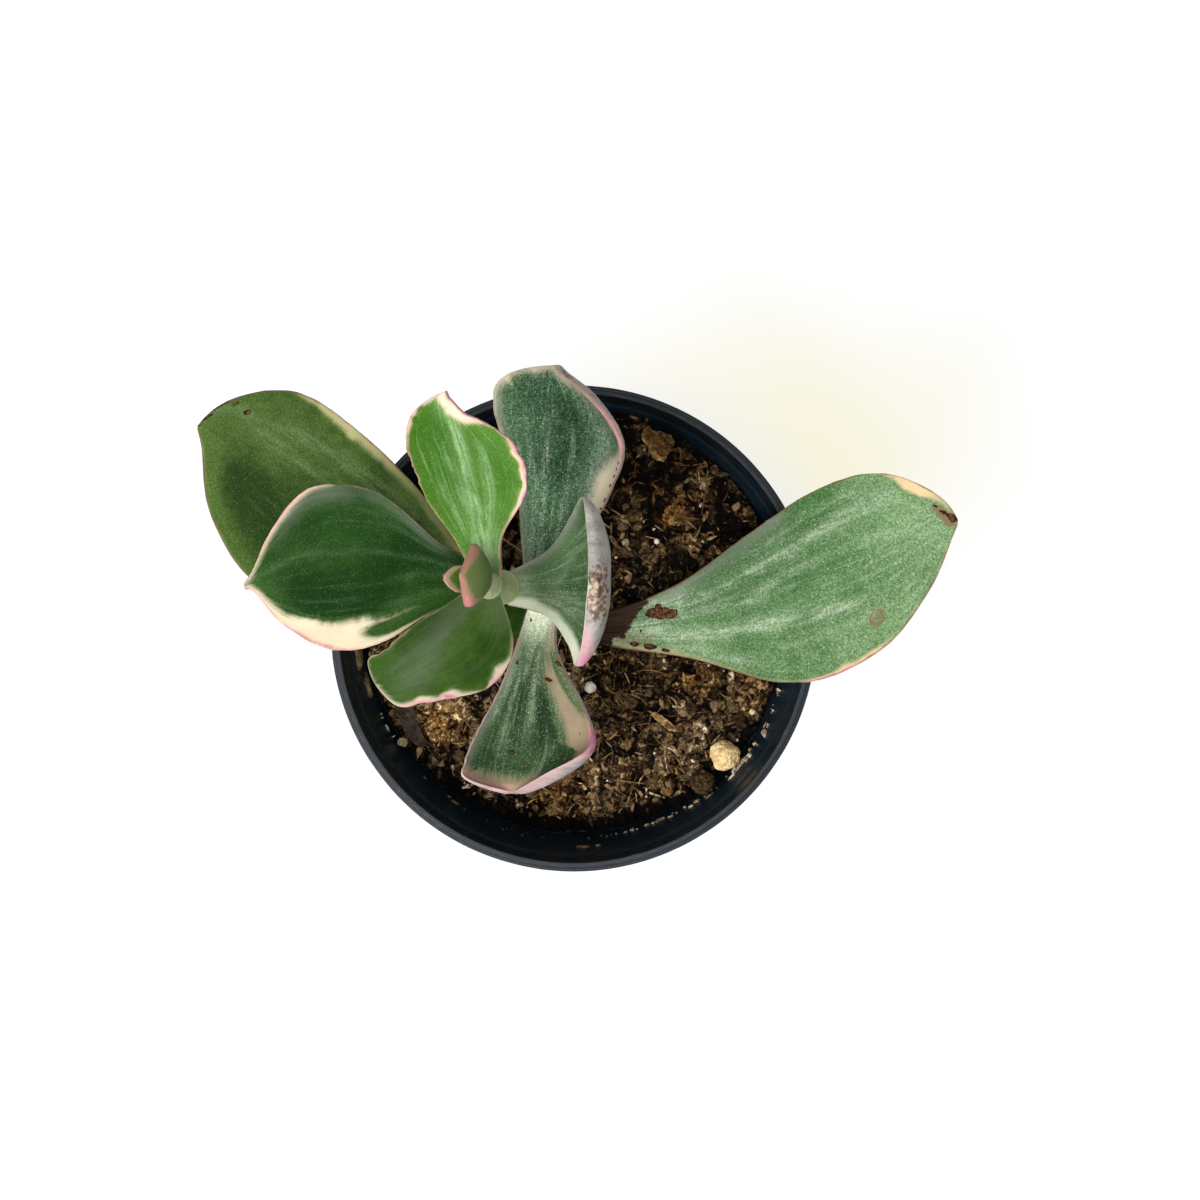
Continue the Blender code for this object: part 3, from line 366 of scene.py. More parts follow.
        pale=(0.13, 0.18, 0.10), cream=(0.74, 0.64, 0.46), cream_deep=(0.70, 0.50, 0.40),
        under=(0.10, 0.16, 0.07), seed=8, rim=(0.52, 0.40, 0.30), rim_width=0.22,
        rim_share=0.4, petiole=(3, (0.10, 0.15, 0.07)),
        speckle=0.25, streaky=0.15, soft=0.8, ragged=0.8, toothed=0.28,
        tones=((2.4, -0.3, ((0.25, 0.6), (0.4, 0.65), (0.6, 0.6))),
               (2.4, -0.3, ((0.3, -0.5), (0.5, -0.8), (0.75, -0.9))),
               (2, 0.4, ((0, 0.5), (0.12, 0.5), (0.2, 0.5)))),
        cream_left=((0, 0.1, 0.4), (0.3, 0.3, 0.7), (0.40, 1.2, 1), (0.47, 0.5, 0.9),
                    (0.52, 0.1, 0.9), (0.6, 0.3, 1), (0.68, 1.1, 1), (0.76, 0.4, 1), (0.83, 1.1, 1),
                    (0.89, 0.3, 1), (0.95, 0.5, 1), (1, 0.3, 0.9)),
        cream_right=((0, 0.1, 0.4), (0.3, 0.1, 0.7), (0.9, 0.15, 0.8), (1, 0.2, 0.9)),
        flush_left=((0.3, 0.1, 0.6), (0.45, 0.4, 0.9), (0.6, 0.15, 0.6), (0.72, 0.6, 1),
                    (0.85, 0.4, 0.8), (1, 0.2, 0.6)),
        streaks=((1, 0.4, ((0.05, 0), (0.2, 0), (0.4, 0.1))),),
        painted_sheens=((2.6, 0.3, ((0, 0.6), (0.12, 0.6), (0.22, 0.5))),
                (2.3, 0.42, ((0, -0.3), (0.15, -0.3), (0.3, -0.25), (0.5, -0.05), (0.7, 0.2),
                             (0.9, 0.4))))),
    "bud_leaf_left": dict(
        base=(-13.2, 5.8, 123.6), length=6.6, thickness=1.5, heading=(180, 178, 176),
        pitch=(60, 46, 30), cup_left=(20, 30, 20), cup_right=(20, 30, 20),
        left=(1, 1.6, 2, 1.9, 1.3, 0.6), right=(1, 1.6, 2, 1.9, 1.3, 0.6),
        green=((0.05, 0.13, 0.008), (0.10, 0.20, 0.02)), lime=(0.20, 0.24, 0.08),
        pale=(0.3, 0.35, 0.15), cream=(0.44, 0.32, 0.20), cream_deep=(0.36, 0.22, 0.13),
        under=(0.20, 0.20, 0.10), under_share=0.5, seed=9, rim=(0.50, 0.24, 0.19),
        rim_share=0.6, rosy=(0.46, 0.22, 0.17), rosy_deep=(0.72, 0.26, 0.27),
        petiole=(0.5, (0.30, 0.38, 0.12)),
        speckle=0.1, streaky=0.3, soft=0.3, ragged=0.4, toothed=0.12,
        cream_left=((0, 0.15, 0.5), (0.6, 0.3, 0.8), (1, 0.7, 0.9)),
        cream_right=((0, 0.15, 0.5), (0.6, 0.3, 0.8), (1, 0.7, 0.9)),
        flush_left=((0, 0.1, 0.3), (0.7, 0.15, 0.4), (1, 0.35, 0.6)),
        flush_right=((0, 0.1, 0.3), (0.7, 0.15, 0.4), (1, 0.35, 0.6))),
    "bud_leaf_right": dict(
        base=(-12.9, 5.9, 123.8), length=8.4, thickness=1.5, heading=(-6, -6, -6),
        pitch=(62, 110, 156), cup_left=(20, 34, 20), cup_right=(20, 34, 20),
        left=(1.2, 2.4, 4.4, 5, 3, 1), right=(1.2, 2.2, 3.9, 4.6, 3, 1),
        green=((0.092, 0.150, 0.036), (0.135, 0.190, 0.060)), lime=(0.16, 0.16, 0.06),
        pale=(0.2, 0.22, 0.1), cream=(0.40, 0.25, 0.17), cream_deep=(0.32, 0.17, 0.11),
        under=(0.10, 0.14, 0.04), under_share=0, seed=10, rim=(0.34, 0.15, 0.11), rim_width=0.3,
        rim_share=0.7, rosy=(0.36, 0.19, 0.15), rosy_deep=(0.66, 0.22, 0.25),
        petiole=(4.2, (0.32, 0.20, 0.13)),
        speckle=0.1, streaky=0.2, soft=0.4, ragged=0.4, toothed=0.16,
        cream_left=((0, 0.4, 0.5), (0.4, 0.9, 0.85), (0.7, 1.6, 0.95), (1, 0.5, 1)),
        cream_right=((0, 0.4, 0.5), (0.4, 1, 0.85), (0.7, 2.2, 1), (1, 0.5, 1)),
        flush_left=((0, 0.1, 0.3), (0.5, 0.3, 0.55), (0.8, 0.25, 0.5), (1, 0.2, 0.3)),
        flush_right=((0, 0.1, 0.3), (0.5, 0.7, 0.7), (0.7, 1.9, 1), (0.85, 1, 0.9), (1, 0.3, 0.4))),
}
LEAVES = {name: {**LEAF_DEFAULTS, **leaf} for name, leaf in LEAVES.items()}
# grey of the painted sheen: the reflection of the light on the wax, painted into the colour
PAINTED_SHEEN = (0.185, 0.215, 0.160)
SCAR = (0.030, 0.010, 0.006)
SCAR_INSIDE = (0.15, 0.060, 0.028)
DEAD = (0.022, 0.013, 0.008)
DEAD_LIGHT = (0.060, 0.038, 0.024)
STAIN = (0.20, 0.14, 0.07)
RUST = (0.20, 0.10, 0.055)
RUST_LIGHT = (0.62, 0.44, 0.31)
UNDER_GRIT = (0.66, 0.64, 0.62)
EARTH_TONES = (
    (0.0, (0.0025, 0.0014, 0.0008)), (0.2, (0.012, 0.0065, 0.0028)), (0.36, (0.052, 0.031, 0.014)),
    (0.54, (0.125, 0.078, 0.036)), (0.70, (0.24, 0.16, 0.080)), (0.84, (0.38, 0.265, 0.145)),
    (0.95, (0.56, 0.44, 0.28)), (1.0, (0.90, 0.80, 0.60)),
)
# light, deep and pitted colour of each kind of grain
PERLITE = {
    "white": ((1.0, 0.96, 0.88), (0.95, 0.86, 0.72), (0.60, 0.46, 0.30)),
    "cream": ((0.97, 0.76, 0.42), (0.72, 0.46, 0.17), (0.28, 0.15, 0.05)),
    "stale": ((0.52, 0.44, 0.27), (0.34, 0.27, 0.15), (0.12, 0.08, 0.04)),
}


# ---- materials ---------------------------------------------------------------------------------
class Value:
    """A node's output that is added, subtracted and multiplied as a number is."""

    def __init__(self, surface, socket):
        self.surface, self.socket = surface, socket

    def __add__(self, other):
        return self.surface.math("ADD", self, other)

    def __sub__(self, other):
        return self.surface.math("SUBTRACT", self, other)

    def __mul__(self, other):
        return self.surface.math("MULTIPLY", self, other)


class Surface:
    """A Principled material in the making; its methods add nodes and return their outputs."""

    def __init__(self, name):
        self.material = bpy.data.materials.new(name)
        self.material.use_nodes = True
        self.tree = self.material.node_tree
        self.shader = self.tree.nodes["Principled BSDF"]

    def feed(self, socket, value):
        if isinstance(value, Value):
            self.tree.links.new(value.socket, socket)
        elif socket.type == "RGBA" and len(value) == 3:
            socket.default_value = (*value, 1.0)
        else:
            socket.default_value = value

    def node(self, kind, values, **settings):
        """A new node itself, for when more than one of its outputs is wanted."""
        made = self.tree.nodes.new("ShaderNode" + kind)
        for key, setting in settings.items():
            setattr(made, key, setting)
        for key, value in values.items():
            self.feed(made.inputs[key], value)
        return made

    def out(self, kind, values, output=0, **settings):
        return Value(self, self.node(kind, values, **settings).outputs[output])

    def attribute(self, name):
        return self.out("Attribute", {}, "Fac", attribute_name=name)

    def math(self, operation, a, b, c=1.0):
        return self.out("Math", {0: a, 1: b, 2: c}, operation=operation)

    def highest(self, a, b):
        return self.math("MAXIMUM", a, b)

    def vector(self, x, y, z=0.0):
        return self.out("CombineXYZ", {0: x, 1: y, 2: z})

    def scaled(self, vector, scale):
        return self.out("VectorMath", {0: vector, 1: scale}, operation="MULTIPLY")

    def place(self, scale=(1.0, 1.0, 1.0)):
        """The object's own coordinates in millimetres, times scale."""
        return self.scaled(self.out("TexCoord", {}, "Object"), tuple(1.0 / MM * part for part in scale))

    def noise(self, where, scale, detail=3.0, roughness=0.55, distortion=0.0):
        return self.out("TexNoise", {"Vector": where, "Scale": scale, "Detail": detail,
                                     "Roughness": roughness, "Distortion": distortion})

    def cells(self, where, scale, flat=False):
        """The distance to the nearest of scattered points, and that point's random colour."""
        made = self.node("TexVoronoi", {"Vector": where, "Scale": scale},
                         voronoi_dimensions="2D" if flat else "3D")
        return Value(self, made.outputs["Distance"]), Value(self, made.outputs["Color"])

    def chance(self, colour):
        """A random number from a cell's random colour."""
        return self.out("SeparateColor", {0: colour})

    def ramp(self, value, low, high, to_low=0.0, to_high=1.0):
        return self.out("MapRange", {0: value, 1: low, 2: high, 3: to_low, 4: to_high},
                        interpolation_type="SMOOTHSTEP")

    def mix(self, factor, a, b):
        return self.out("Mix", {"Factor": factor, 6: a, 7: b}, 2, data_type="RGBA")

    def finish(self, colour, roughness, height, depth=0.05, specular=0.4):
        """Depth is the height, in millimetres, that a bump of 1 stands for."""
        self.feed(self.shader.inputs["Base Color"], colour)
        self.feed(self.shader.inputs["Roughness"], roughness)
        self.shader.inputs["Specular IOR Level"].default_value = specular
        bump = self.out("Bump", {"Height": height, "Distance": depth * MM, "Strength": 1.0})
        self.feed(self.shader.inputs["Normal"], bump)
        return self.material


def leaf_material(name, leaf):
    """Green, its specks and a painted sheen on its wax, then margins, the underside and damage, each
    laid over the last.
    """
    m = Surface(name)
    across, along = m.attribute("across"), m.attribute("along")
    seed = leaf["seed"] * 7.3
    flat = m.vector(across, along, seed)
    fan = m.vector(m.attribute("fan") * 1.5, along * 0.08, seed)
    fibre = m.noise(fan, 1.0)
    mottle = m.noise(flat, 0.16)
    fine = m.noise(flat, 2.4, 3.0, 0.7)
    grit = m.noise(flat, 3.4, 2.0, 0.6)
    plane = m.vector(across + seed, along)
    under = m.attribute("under")

    # green: mottled, lighter or darker along the tone bands, which are partly painted light and shade,
    # with pale fibres, and paler still toward the petiole
    tone = m.attribute("tone") + (mottle - 0.5) * 0.8 + (m.noise(flat, 0.6) - 0.5) * 0.6
    colour = m.mix(m.ramp(tone, 0.0, 1.0), *leaf["green"])
    streak = m.ramp(fibre, 0.5, 0.74) * leaf["streaky"]
    patchy = m.noise(m.vector(across * 1.1, along * 0.3, seed), 1.0)
    pale_line = m.attribute("pale") * m.ramp(fibre, 0.25, 0.6, 0.2, 1.0)
    lighter = m.highest(streak, pale_line * m.ramp(patchy, 0.34, 0.58, 0.35, 1.0))
    colour = m.mix(lighter, colour, leaf["pale"])
    reach, tint = leaf["petiole"]
    young = m.ramp(along + fibre * 4.0, reach + 2.0, 1.0)
    colour = m.mix(young, colour, tint)
    halo = m.attribute("halo") * m.ramp(fibre, 0.3, 0.6, 0.3, 0.9)
    colour = m.mix(halo, colour, leaf["lime"])

    # specks and frost-like dots, which thin out toward the petiole
    distance, tint = m.cells(plane, 2.4, flat=True)
    size = m.ramp(m.chance(tint) + lighter * 0.6, 0.3, 1.4, 0.0, 0.42)
    speck = m.ramp(size - distance, -0.06, 0.10) * m.ramp(young, 0.0, 1.0, 1.0, 0.2)
    colour = m.mix(speck * (0.34 * leaf["speckle"]), colour,
                   tuple(min(0.8, 1.3 * part + 0.06) for part in leaf["pale"]))
    distance, tint = m.cells(plane, 1.1, flat=True)
    size = m.ramp(m.chance(tint), 0.45, 1.0, 0.0, 0.15)
    dot = m.ramp(size - distance, -0.04, 0.06) * leaf["dots"]
    colour = m.mix(dot * 0.6, colour, tuple(0.8 * part + 0.12 for part in leaf["pale"]))
    swing = 0.46 * leaf["speckle"]
    shade = m.ramp(grit, 0.34, 0.66, 1.0 - swing, 1.0 + swing)
    gritty = m.scaled(colour, m.vector(shade, shade, shade))
    colour = m.mix(m.ramp(young, 0.0, 1.0, 1.0, 0.2), colour, gritty)
    # painted sheen: the grey reflection of the light on the wax, painted along the sheen bands
    painted_sheen = m.attribute("painted_sheen") * m.ramp(fibre, 0.2, 0.7, 0.55, 1.0)
    colour = m.mix(painted_sheen, colour, PAINTED_SHEEN)

    # cream margin, underside, pink flush and the thin coloured rim
    edge = (fibre - 0.5) * leaf["ragged"] + (fine - 0.5) * 0.25
    cream = m.ramp(m.attribute("cream") + edge, 0.08, 0.92) * m.attribute("cream_depth")
    ivory = m.mix(m.ramp(mottle, 0.3, 0.7), leaf["cream"], leaf["cream_deep"])
    colour = m.mix(cream, colour, ivory)
    turned = m.mix(m.ramp(m.noise(flat, 0.5, 4.0, 0.6), 0.3, 0.7), leaf["under"],
                   tuple(0.55 * part for part in leaf["under"]))
    turned = m.mix(m.ramp(grit, 0.48, 0.66) * (0.45 * leaf["under_share"]), turned, UNDER_GRIT)
    inward = m.ramp(m.attribute("rim"), 6.0, 10.0, 1.0, 0.35)
    colour = m.mix(under * inward * leaf["under_share"], colour, turned)
    flush = m.ramp(m.attribute("flush") + edge * 0.7, 0.2, 0.9) * m.ramp(
        m.noise(flat, 0.9), 0.3, 0.6, 0.35, 0.95)
    rosy = m.mix(m.ramp(m.attribute("flush"), 0.6, 1.05), leaf["rosy"], leaf["rosy_deep"])
    colour = m.mix(flush, colour, rosy)
    border = m.attribute("rim") + m.noise(flat, 0.8) * 0.5
    line = m.ramp(border, leaf["rim_width"] + 0.3, leaf["rim_width"])
    broken = m.ramp(m.noise(flat, 0.22, 2.0), 0.4, 0.6, 0.35, 1.0)
    colour = m.mix(line * broken * leaf["rim_share"], colour, leaf["rim"])

    # stains, dead husk, scars, and rusty scabs underneath
    stain = m.ramp(m.attribute("stain") + (fine - 0.5), 0.1, 0.9)
    colour = m.mix(stain, colour, STAIN)
    where = m.place()
    crumbly = (m.noise(where, 1.1, 4.0, 0.65) - 0.5) * 1.3
    torn = (m.noise(where, 0.7, 2.0, 0.5) - 0.5) * 1.1
    dead = m.ramp(m.attribute("dead") + torn, 0.3, 0.62) * m.ramp(m.attribute("dead"), 0.02, 0.3)
    husk = m.mix(m.ramp(m.noise(fan, 1.6, 5.0, 0.7), 0.42, 0.7), DEAD, DEAD_LIGHT)
    colour = m.mix(dead, colour, husk)
    spot = m.attribute("scar") + crumbly
    scar = m.ramp(spot, 0.42, 0.54) * m.ramp(m.attribute("scar"), 0.02, 0.2)
    inside = m.mix(m.ramp(m.noise(flat, 1.5), 0.4, 0.62), SCAR_INSIDE, SCAR)
    colour = m.mix(scar, colour, m.mix(m.ramp(spot, 0.62, 0.85), SCAR, inside))
    spot = m.attribute("rust") + (m.noise(where, 0.8, 4.0, 0.6) - 0.5) * 2.6
    rust = m.ramp(spot, 0.5, 0.75) * m.ramp(m.attribute("rust"), 0.02, 0.3)
    patch = m.noise(where, 1.1, 3.0, 0.6)
    bark = m.mix(m.ramp(patch, 0.38, 0.50), SCAR, RUST)
    bark = m.mix(m.ramp(patch, 0.50, 0.60), bark, RUST_LIGHT)
    colour = m.mix(rust * 0.75, colour, bark)

    hurt = m.highest(m.highest(scar, rust), dead)
    relief = fibre * 0.5 + fine * 0.35 + grit * 0.3 - hurt * 0.8
    roughness = m.ramp(fine, 0.2, 0.8, 0.40, 0.56) + hurt * 0.3
    return m.finish(colour, roughness, relief, depth=0.07, specular=0.06)


def stem_material():
    """Pale green skin, browner where it is old, with a yellow-green line at each joint."""
    m = Surface("jade_stem")
    where = m.place()
    length = m.place((0.8, 0.8, 0.16))
    mottle = m.noise(where, 0.22, 4.0)
    streak = m.noise(length, 1.0, 4.0, 0.6)
    ring = m.attribute("ring")
    colour = m.mix(m.ramp(mottle, 0.35, 0.65), (0.42, 0.50, 0.24), (0.56, 0.62, 0.36))
    colour = m.mix(m.ramp(streak, 0.52, 0.75) * 0.35, colour, (0.30, 0.28, 0.14))
    colour = m.mix(m.attribute("old") * m.ramp(streak, 0.25, 0.6, 0.4, 0.95), colour,
                   (0.17, 0.13, 0.08))
    colour = m.mix(ring * 0.7, colour, (0.36, 0.40, 0.10))
    relief = streak * 0.8 + m.noise(where, 1.6)
    return m.finish(colour, m.ramp(mottle, 0.2, 0.8, 0.4, 0.6), relief, depth=0.12)


def pot_material():
    """Black polypropylene: faint flow marks, scuffs, dust motes, a blue-grey lip that is partly wear and
    partly painted sheen, soil splashed inside, and painted light that makes the inner wall lighter and
    bluer.
    """
    m = Surface("pot_black_plastic")
    where = m.place()
    flow = m.noise(m.place((0.05, 0.05, 1.1)), 1.0, 4.0, 0.6)
    scuff = m.noise(m.place((0.9, 0.9, 0.2)), 0.8, 5.0, 0.7)
    cloud = m.noise(where, 0.07, 4.0, 0.6)
    grain = m.noise(where, 2.2, 3.0, 0.6)
    colour = m.mix(m.ramp(cloud, 0.3, 0.7), (0.0028, 0.0070, 0.0104), (0.0058, 0.0122, 0.0176))
    # painted light: the inner wall below the lip is given a lighter, bluer colour where little light
    # reaches it
    painted_light_inside = m.mix(m.ramp(cloud, 0.3, 0.7), (0.0050, 0.0165, 0.0280), (0.0095, 0.0225, 0.0350))
    colour = m.mix(m.attribute("painted_light_within"), colour, painted_light_inside)
    colour = m.mix(m.ramp(scuff, 0.6, 0.78) * 0.16, colour, (0.060, 0.068, 0.075))
    lip = m.attribute("lip")
    # lighter blue-grey on the lip where scuffed: partly wear, partly a painted sheen
    colour = m.mix(lip * m.ramp(scuff, 0.45, 0.75) * 0.2, colour, (0.040, 0.052, 0.065))
    dirt = m.ramp(m.attribute("splash") + (scuff - 0.5) * 1.8, 0.85, 1.15)
    colour = m.mix(dirt * 0.2, colour, (0.020, 0.015, 0.010))
    distance, tint = m.cells(where, 0.55)
    size = m.ramp(m.chance(tint), 0.5, 1.0, 0.0, 0.1)
    mote = m.ramp(size - distance, -0.01, 0.03)
    colour = m.mix(mote * 0.5, colour, (0.11, 0.10, 0.09))
    relief = flow * 0.5 + grain * 0.2 + dirt * 0.5
    roughness = m.ramp(scuff, 0.3, 0.75, 0.30, 0.48) + lip * 0.18 + dirt * 0.2
    return m.finish(colour, roughness, relief, specular=0.42)


def earth_material(name, low, high):
    """Soil pieces: each piece's tone picks its colour between dark peat, bark and straw."""
    m = Surface(name)
    where = m.place()
    tone = m.attribute("tone")
    speck = m.noise(where, 1.9, 4.0, 0.7)
    shard = m.chance(m.cells(where, 1.9)[1])
    ramp = m.node("ValToRGB", {0: tone + (speck - 0.5) * 0.6 + (shard - 0.5) * 0.26})
    for position, _ in EARTH_TONES[1:-1]:
        ramp.color_ramp.elements.new(position)
    for element, (_, colour) in zip(ramp.color_ramp.elements, EARTH_TONES):
        element.color = (*colour, 1.0)
    warm = m.attribute("warm")
    tint = m.vector(*(m.math("MULTIPLY_ADD", warm, share, 1.0) for share in (0.42, 0.10, -0.38)))
    colour = m.scaled(Value(m, ramp.outputs[0]), tint)
    relief = m.noise(where, 3.0, 4.0, 0.7) + shard * 0.4
    return m.finish(colour, m.ramp(speck, 0.2, 0.8, low, high), relief, depth=0.3, specular=0.12)


def perlite_material(kind):
    """Chalky, porous grain with a darker stain in its pits."""
    light, deep, pit = PERLITE[kind]
    m = Surface("perlite_" + kind)
    where = m.place()
    pores, _ = m.cells(where, 1.5)
    mottle = m.noise(where, 0.6, 4.0, 0.65)
    fine = m.noise(where, 2.6, 3.0, 0.7)
    blend = m.math("MULTIPLY_ADD", mottle, 0.5, fine * 0.5)
    colour = m.mix(m.ramp(blend, 0.42, 0.60), light, deep)
    colour = m.mix(m.ramp(fine, 0.58, 0.70) * 0.8, colour, pit)
    relief = pores * 0.8 + fine
    return m.finish(colour, m.ramp(fine, 0.2, 0.8, 0.75, 0.95), relief, depth=0.25, specular=0.2)


def papery_material():
    """Thin grey-brown bark with wavy streaks."""
    m = Surface("papery_bark")
    where = m.place()
    streak = m.noise(m.place((0.5, 0.5, 0.5)), 1.0, 5.0, 0.65, 1.5)
    fine = m.noise(where, 2.5, 3.0, 0.7)
    colour = m.mix(m.ramp(streak, 0.35, 0.65), (0.040, 0.027, 0.019), (0.118, 0.086, 0.064))
    colour = m.mix(m.ramp(fine, 0.58, 0.75) * 0.6, colour, (0.025, 0.018, 0.013))
    relief = streak + fine * 0.6
    return m.finish(colour, m.ramp(fine, 0.2, 0.8, 0.6, 0.9), relief, depth=0.3, specular=0.1)


# ---- mesh helpers --------------------------------------------------------------------------------
def points_at(x, y, z=0.0):
    """One array of points from arrays of coordinates."""
    return np.stack([x, y, z + 0 * x], axis=-1)


def full_turn(count):
    return np.linspace(0.0, 2.0 * math.pi, count, endpoint=False)


def mesh_object(name, points, faces, material, attributes=None, smooth=True):
    """An object from points in millimetres, with float attributes on its vertices."""
    mesh = bpy.data.meshes.new(name)
    mesh.from_pydata((np.asarray(points) * MM).tolist(), [], faces)
    mesh.polygons.foreach_set("use_smooth", [smooth] * len(mesh.polygons))
    for key, values in (attributes or {}).items():
        layer = mesh.attributes.new(key, "FLOAT", "POINT")
        layer.data.foreach_set("value", np.asarray(values, dtype=np.float32).ravel())
    mesh.update()
    obj = bpy.data.objects.new(name, mesh)
    bpy.context.scene.collection.objects.link(obj)
    mesh.materials.append(material)
    return obj


def tube_faces(rings, count):
    """Quads that join closed rings of count vertices each, laid out one after another."""
    first = np.arange(count)
    after = (first + 1) % count
    base = (np.arange(rings - 1) * count)[:, None]
    quads = np.stack([base + first, base + after, base + count + after, base + count + first], axis=-1)
    return quads.reshape(-1, 4).tolist()


def closed_tube(rings, count):
    """The same quads, and a face over each end."""
    last = (rings - 1) * count
    return tube_faces(rings, count) + [tuple(range(count - 1, -1, -1)),
                                       tuple(range(last, last + count))]


def icosphere(subdivisions):
    """Vertices and triangles of a ball of radius 1."""
    bm = bmesh.new()
    bmesh.ops.create_icosphere(bm, subdivisions=subdivisions, radius=1.0)
    vertices = np.array([vert.co for vert in bm.verts])
    triangles = np.array([[vert.index for vert in face.verts] for face in bm.faces])
    bm.free()
    return vertices, triangles


def noise_field(points, scale, seed=0.0):
    """Smooth noise from -1 to 1 at each of an array of points."""
    shift = Vector((seed * 13.7, seed * 5.1, seed * 9.2))
    flat = np.asarray(points, dtype=float).reshape(-1, 3) * scale
    values = [noise.noise(Vector(point) + shift) for point in flat]
    return np.array(values).reshape(np.asarray(points).shape[:-1])


def spline(values, place):
    """Catmull-Rom curve through evenly spaced values, at places from 0 to 1."""
    points = np.asarray(values, dtype=float)
    last = len(points) - 1
    points = np.concatenate([[2 * points[0] - points[1]], points, [2 * points[-1] - points[-2]]])
    x = np.clip(place, 0.0, 1.0) * last
    i = np.minimum(x.astype(int), last - 1)
    f = x - i
    if points.ndim > 1:
        f = f[:, None]
    before, p, q, after = points[i], points[i + 1], points[i + 2], points[i + 3]
    return p + 0.5 * f * (q - before + f * (2 * before - 5 * p + 4 * q - after
                                            + f * (3 * (p - q) + after - before)))


def smoothstep(low, high, x):
    x = np.clip((x - low) / (high - low), 0.0, 1.0)
    return x * x * (3.0 - 2.0 * x)


# ---- leaves ----------------------------------------------------------------------------------------
def along_leaf(three, s):
    """The parabola through a value at the base, the middle and the tip."""
    a, b, c = three
    return a * (1 - s) * (1 - 2 * s) + b * 4 * s * (1 - s) + c * s * (2 * s - 1)


def leaf_axes(leaf, s):
    """Directions ahead, to the left and up at places on the midrib."""
    heading = np.radians(along_leaf(leaf["heading"], s))
    pitch = np.radians(along_leaf(leaf["pitch"], s))
    roll = np.radians(along_leaf(leaf["roll"], s))[:, None]
    ahead = points_at(np.cos(pitch) * np.cos(heading), np.cos(pitch) * np.sin(heading), np.sin(pitch))
    side = points_at(-np.sin(heading), np.cos(heading))
    left = side * np.cos(roll) + np.cross(ahead, side) * np.sin(roll)
    return ahead, left, np.cross(ahead, left)


def midrib(leaf, s, steps=600):
    """Points on the midrib, from adding up its direction in small steps."""
    middle = (np.arange(steps) + 0.5) / steps
    path = np.cumsum(leaf_axes(leaf, middle)[0], axis=0) * leaf["length"] / steps
    path = np.concatenate([np.zeros((1, 3)), path]) + np.asarray(leaf["base"])
    grid = np.linspace(0.0, 1.0, steps + 1)
    return np.stack([np.interp(s, grid, path[:, k]) for k in range(3)], axis=-1)


def leaf_sheet(leaf, place, reach, upper):
    """One face of a leaf: points, normals and half-widths on a grid of place by reach."""
    s = np.sin(place * math.pi / 2)
    _, left, up = leaf_axes(leaf, s)
    left, up = left[:, None, :], up[:, None, :]
    is_left = (reach >= 0.0)[None, :]
    widths = []
    for hand, seed in (("left", 1.0), ("right", 2.0)):
        half = np.maximum(LEAST_HALF_WIDTH, spline((*leaf[hand], 0.0), place))
        run = points_at(s * leaf["length"], 0 * s)
        teeth = noise_field(run, 0.75, leaf["seed"] + seed) + 0.5 * noise_field(run, 1.7, seed)
        half = half + leaf["toothed"] * teeth * smoothstep(0.3, 0.6, s) * smoothstep(0.4, 2.0, half)
        widths.append(half[:, None])
    width = np.where(is_left, *widths)
    cups = [np.radians(along_leaf(leaf["cup_" + hand], s))[:, None] for hand in ("left", "right")]
    cup = np.where(is_left, *cups)
    part = np.abs(reach)[None, :]
    sign = np.where(is_left, 1.0, -1.0)
    out, rise = np.zeros(width.shape), np.zeros(width.shape)
    steps = 24
    for k in range(steps):
        bend = cup * (part * (k + 0.5) / steps) ** 1.5
        out += np.cos(bend) * width * part / steps
        rise += np.sin(bend) * width * part / steps
    bend = cup * part ** 1.5
    normal = up * np.cos(bend)[..., None] - left * (sign * np.sin(bend))[..., None]
    points = midrib(leaf, s)[:, None, :] + left * (sign * out)[..., None] + up * rise[..., None]
    section = np.sqrt(np.clip(1.0 - part * part, 0.0, 1.0))
    depth = (leaf["thickness"] * (1.0 - TIP_THINNING * s * s))[:, None]
    if upper:
        return points + normal * (depth * UPPER_SHARE * section)[..., None], normal, width
    offset = depth * (1.0 - UPPER_SHARE) * section ** LOWER_FULLNESS
    return points - normal * offset[..., None], -normal, width


def profile(points, s):
    """Linear interpolation of (s, value, ...) rows, one array for each value column."""
    table = np.asarray(points)
    return [np.interp(s, table[:, 0], table[:, k]) for k in range(1, table.shape[1])]


def margin_zone(leaf, kind, places, rims, softness, extra=0.0):
    """How far inside the coloured margins each vertex lies, from 0 to 1, and their strength there.
    A margin's width is the one at the nearest point of the outline, whose s is in places."""
    inside = np.zeros(places["left"].shape)
    strength = np.zeros(places["left"].shape)
    steps = np.linspace(0.0, 1.0, MARGIN_STEPS)
    run = points_at(steps * leaf["length"], 0 * steps)
    for hand, seed in (("left", 0.0), ("right", 1.0)):
        rows = leaf.get(kind + "_" + hand)
        if rows is None:
            continue
        waver = 0.7 * noise_field(run, 0.45, leaf["seed"] + seed) + 0.35 * noise_field(
            run, 1.2, leaf["seed"] + seed + 5.0)
        width, depth = profile(rows, places[hand])
        room = leaf["ragged"] * np.minimum(width, 1.0)
        width = (width + room * np.interp(places[hand], steps, waver)) * (1.0 + extra)
        value = smoothstep(-softness, softness, width - rims[hand]) * smoothstep(0.0, 0.3, width)
        strength = np.where(value > inside, depth, strength)
        inside = np.maximum(inside, value)
    return inside, strength


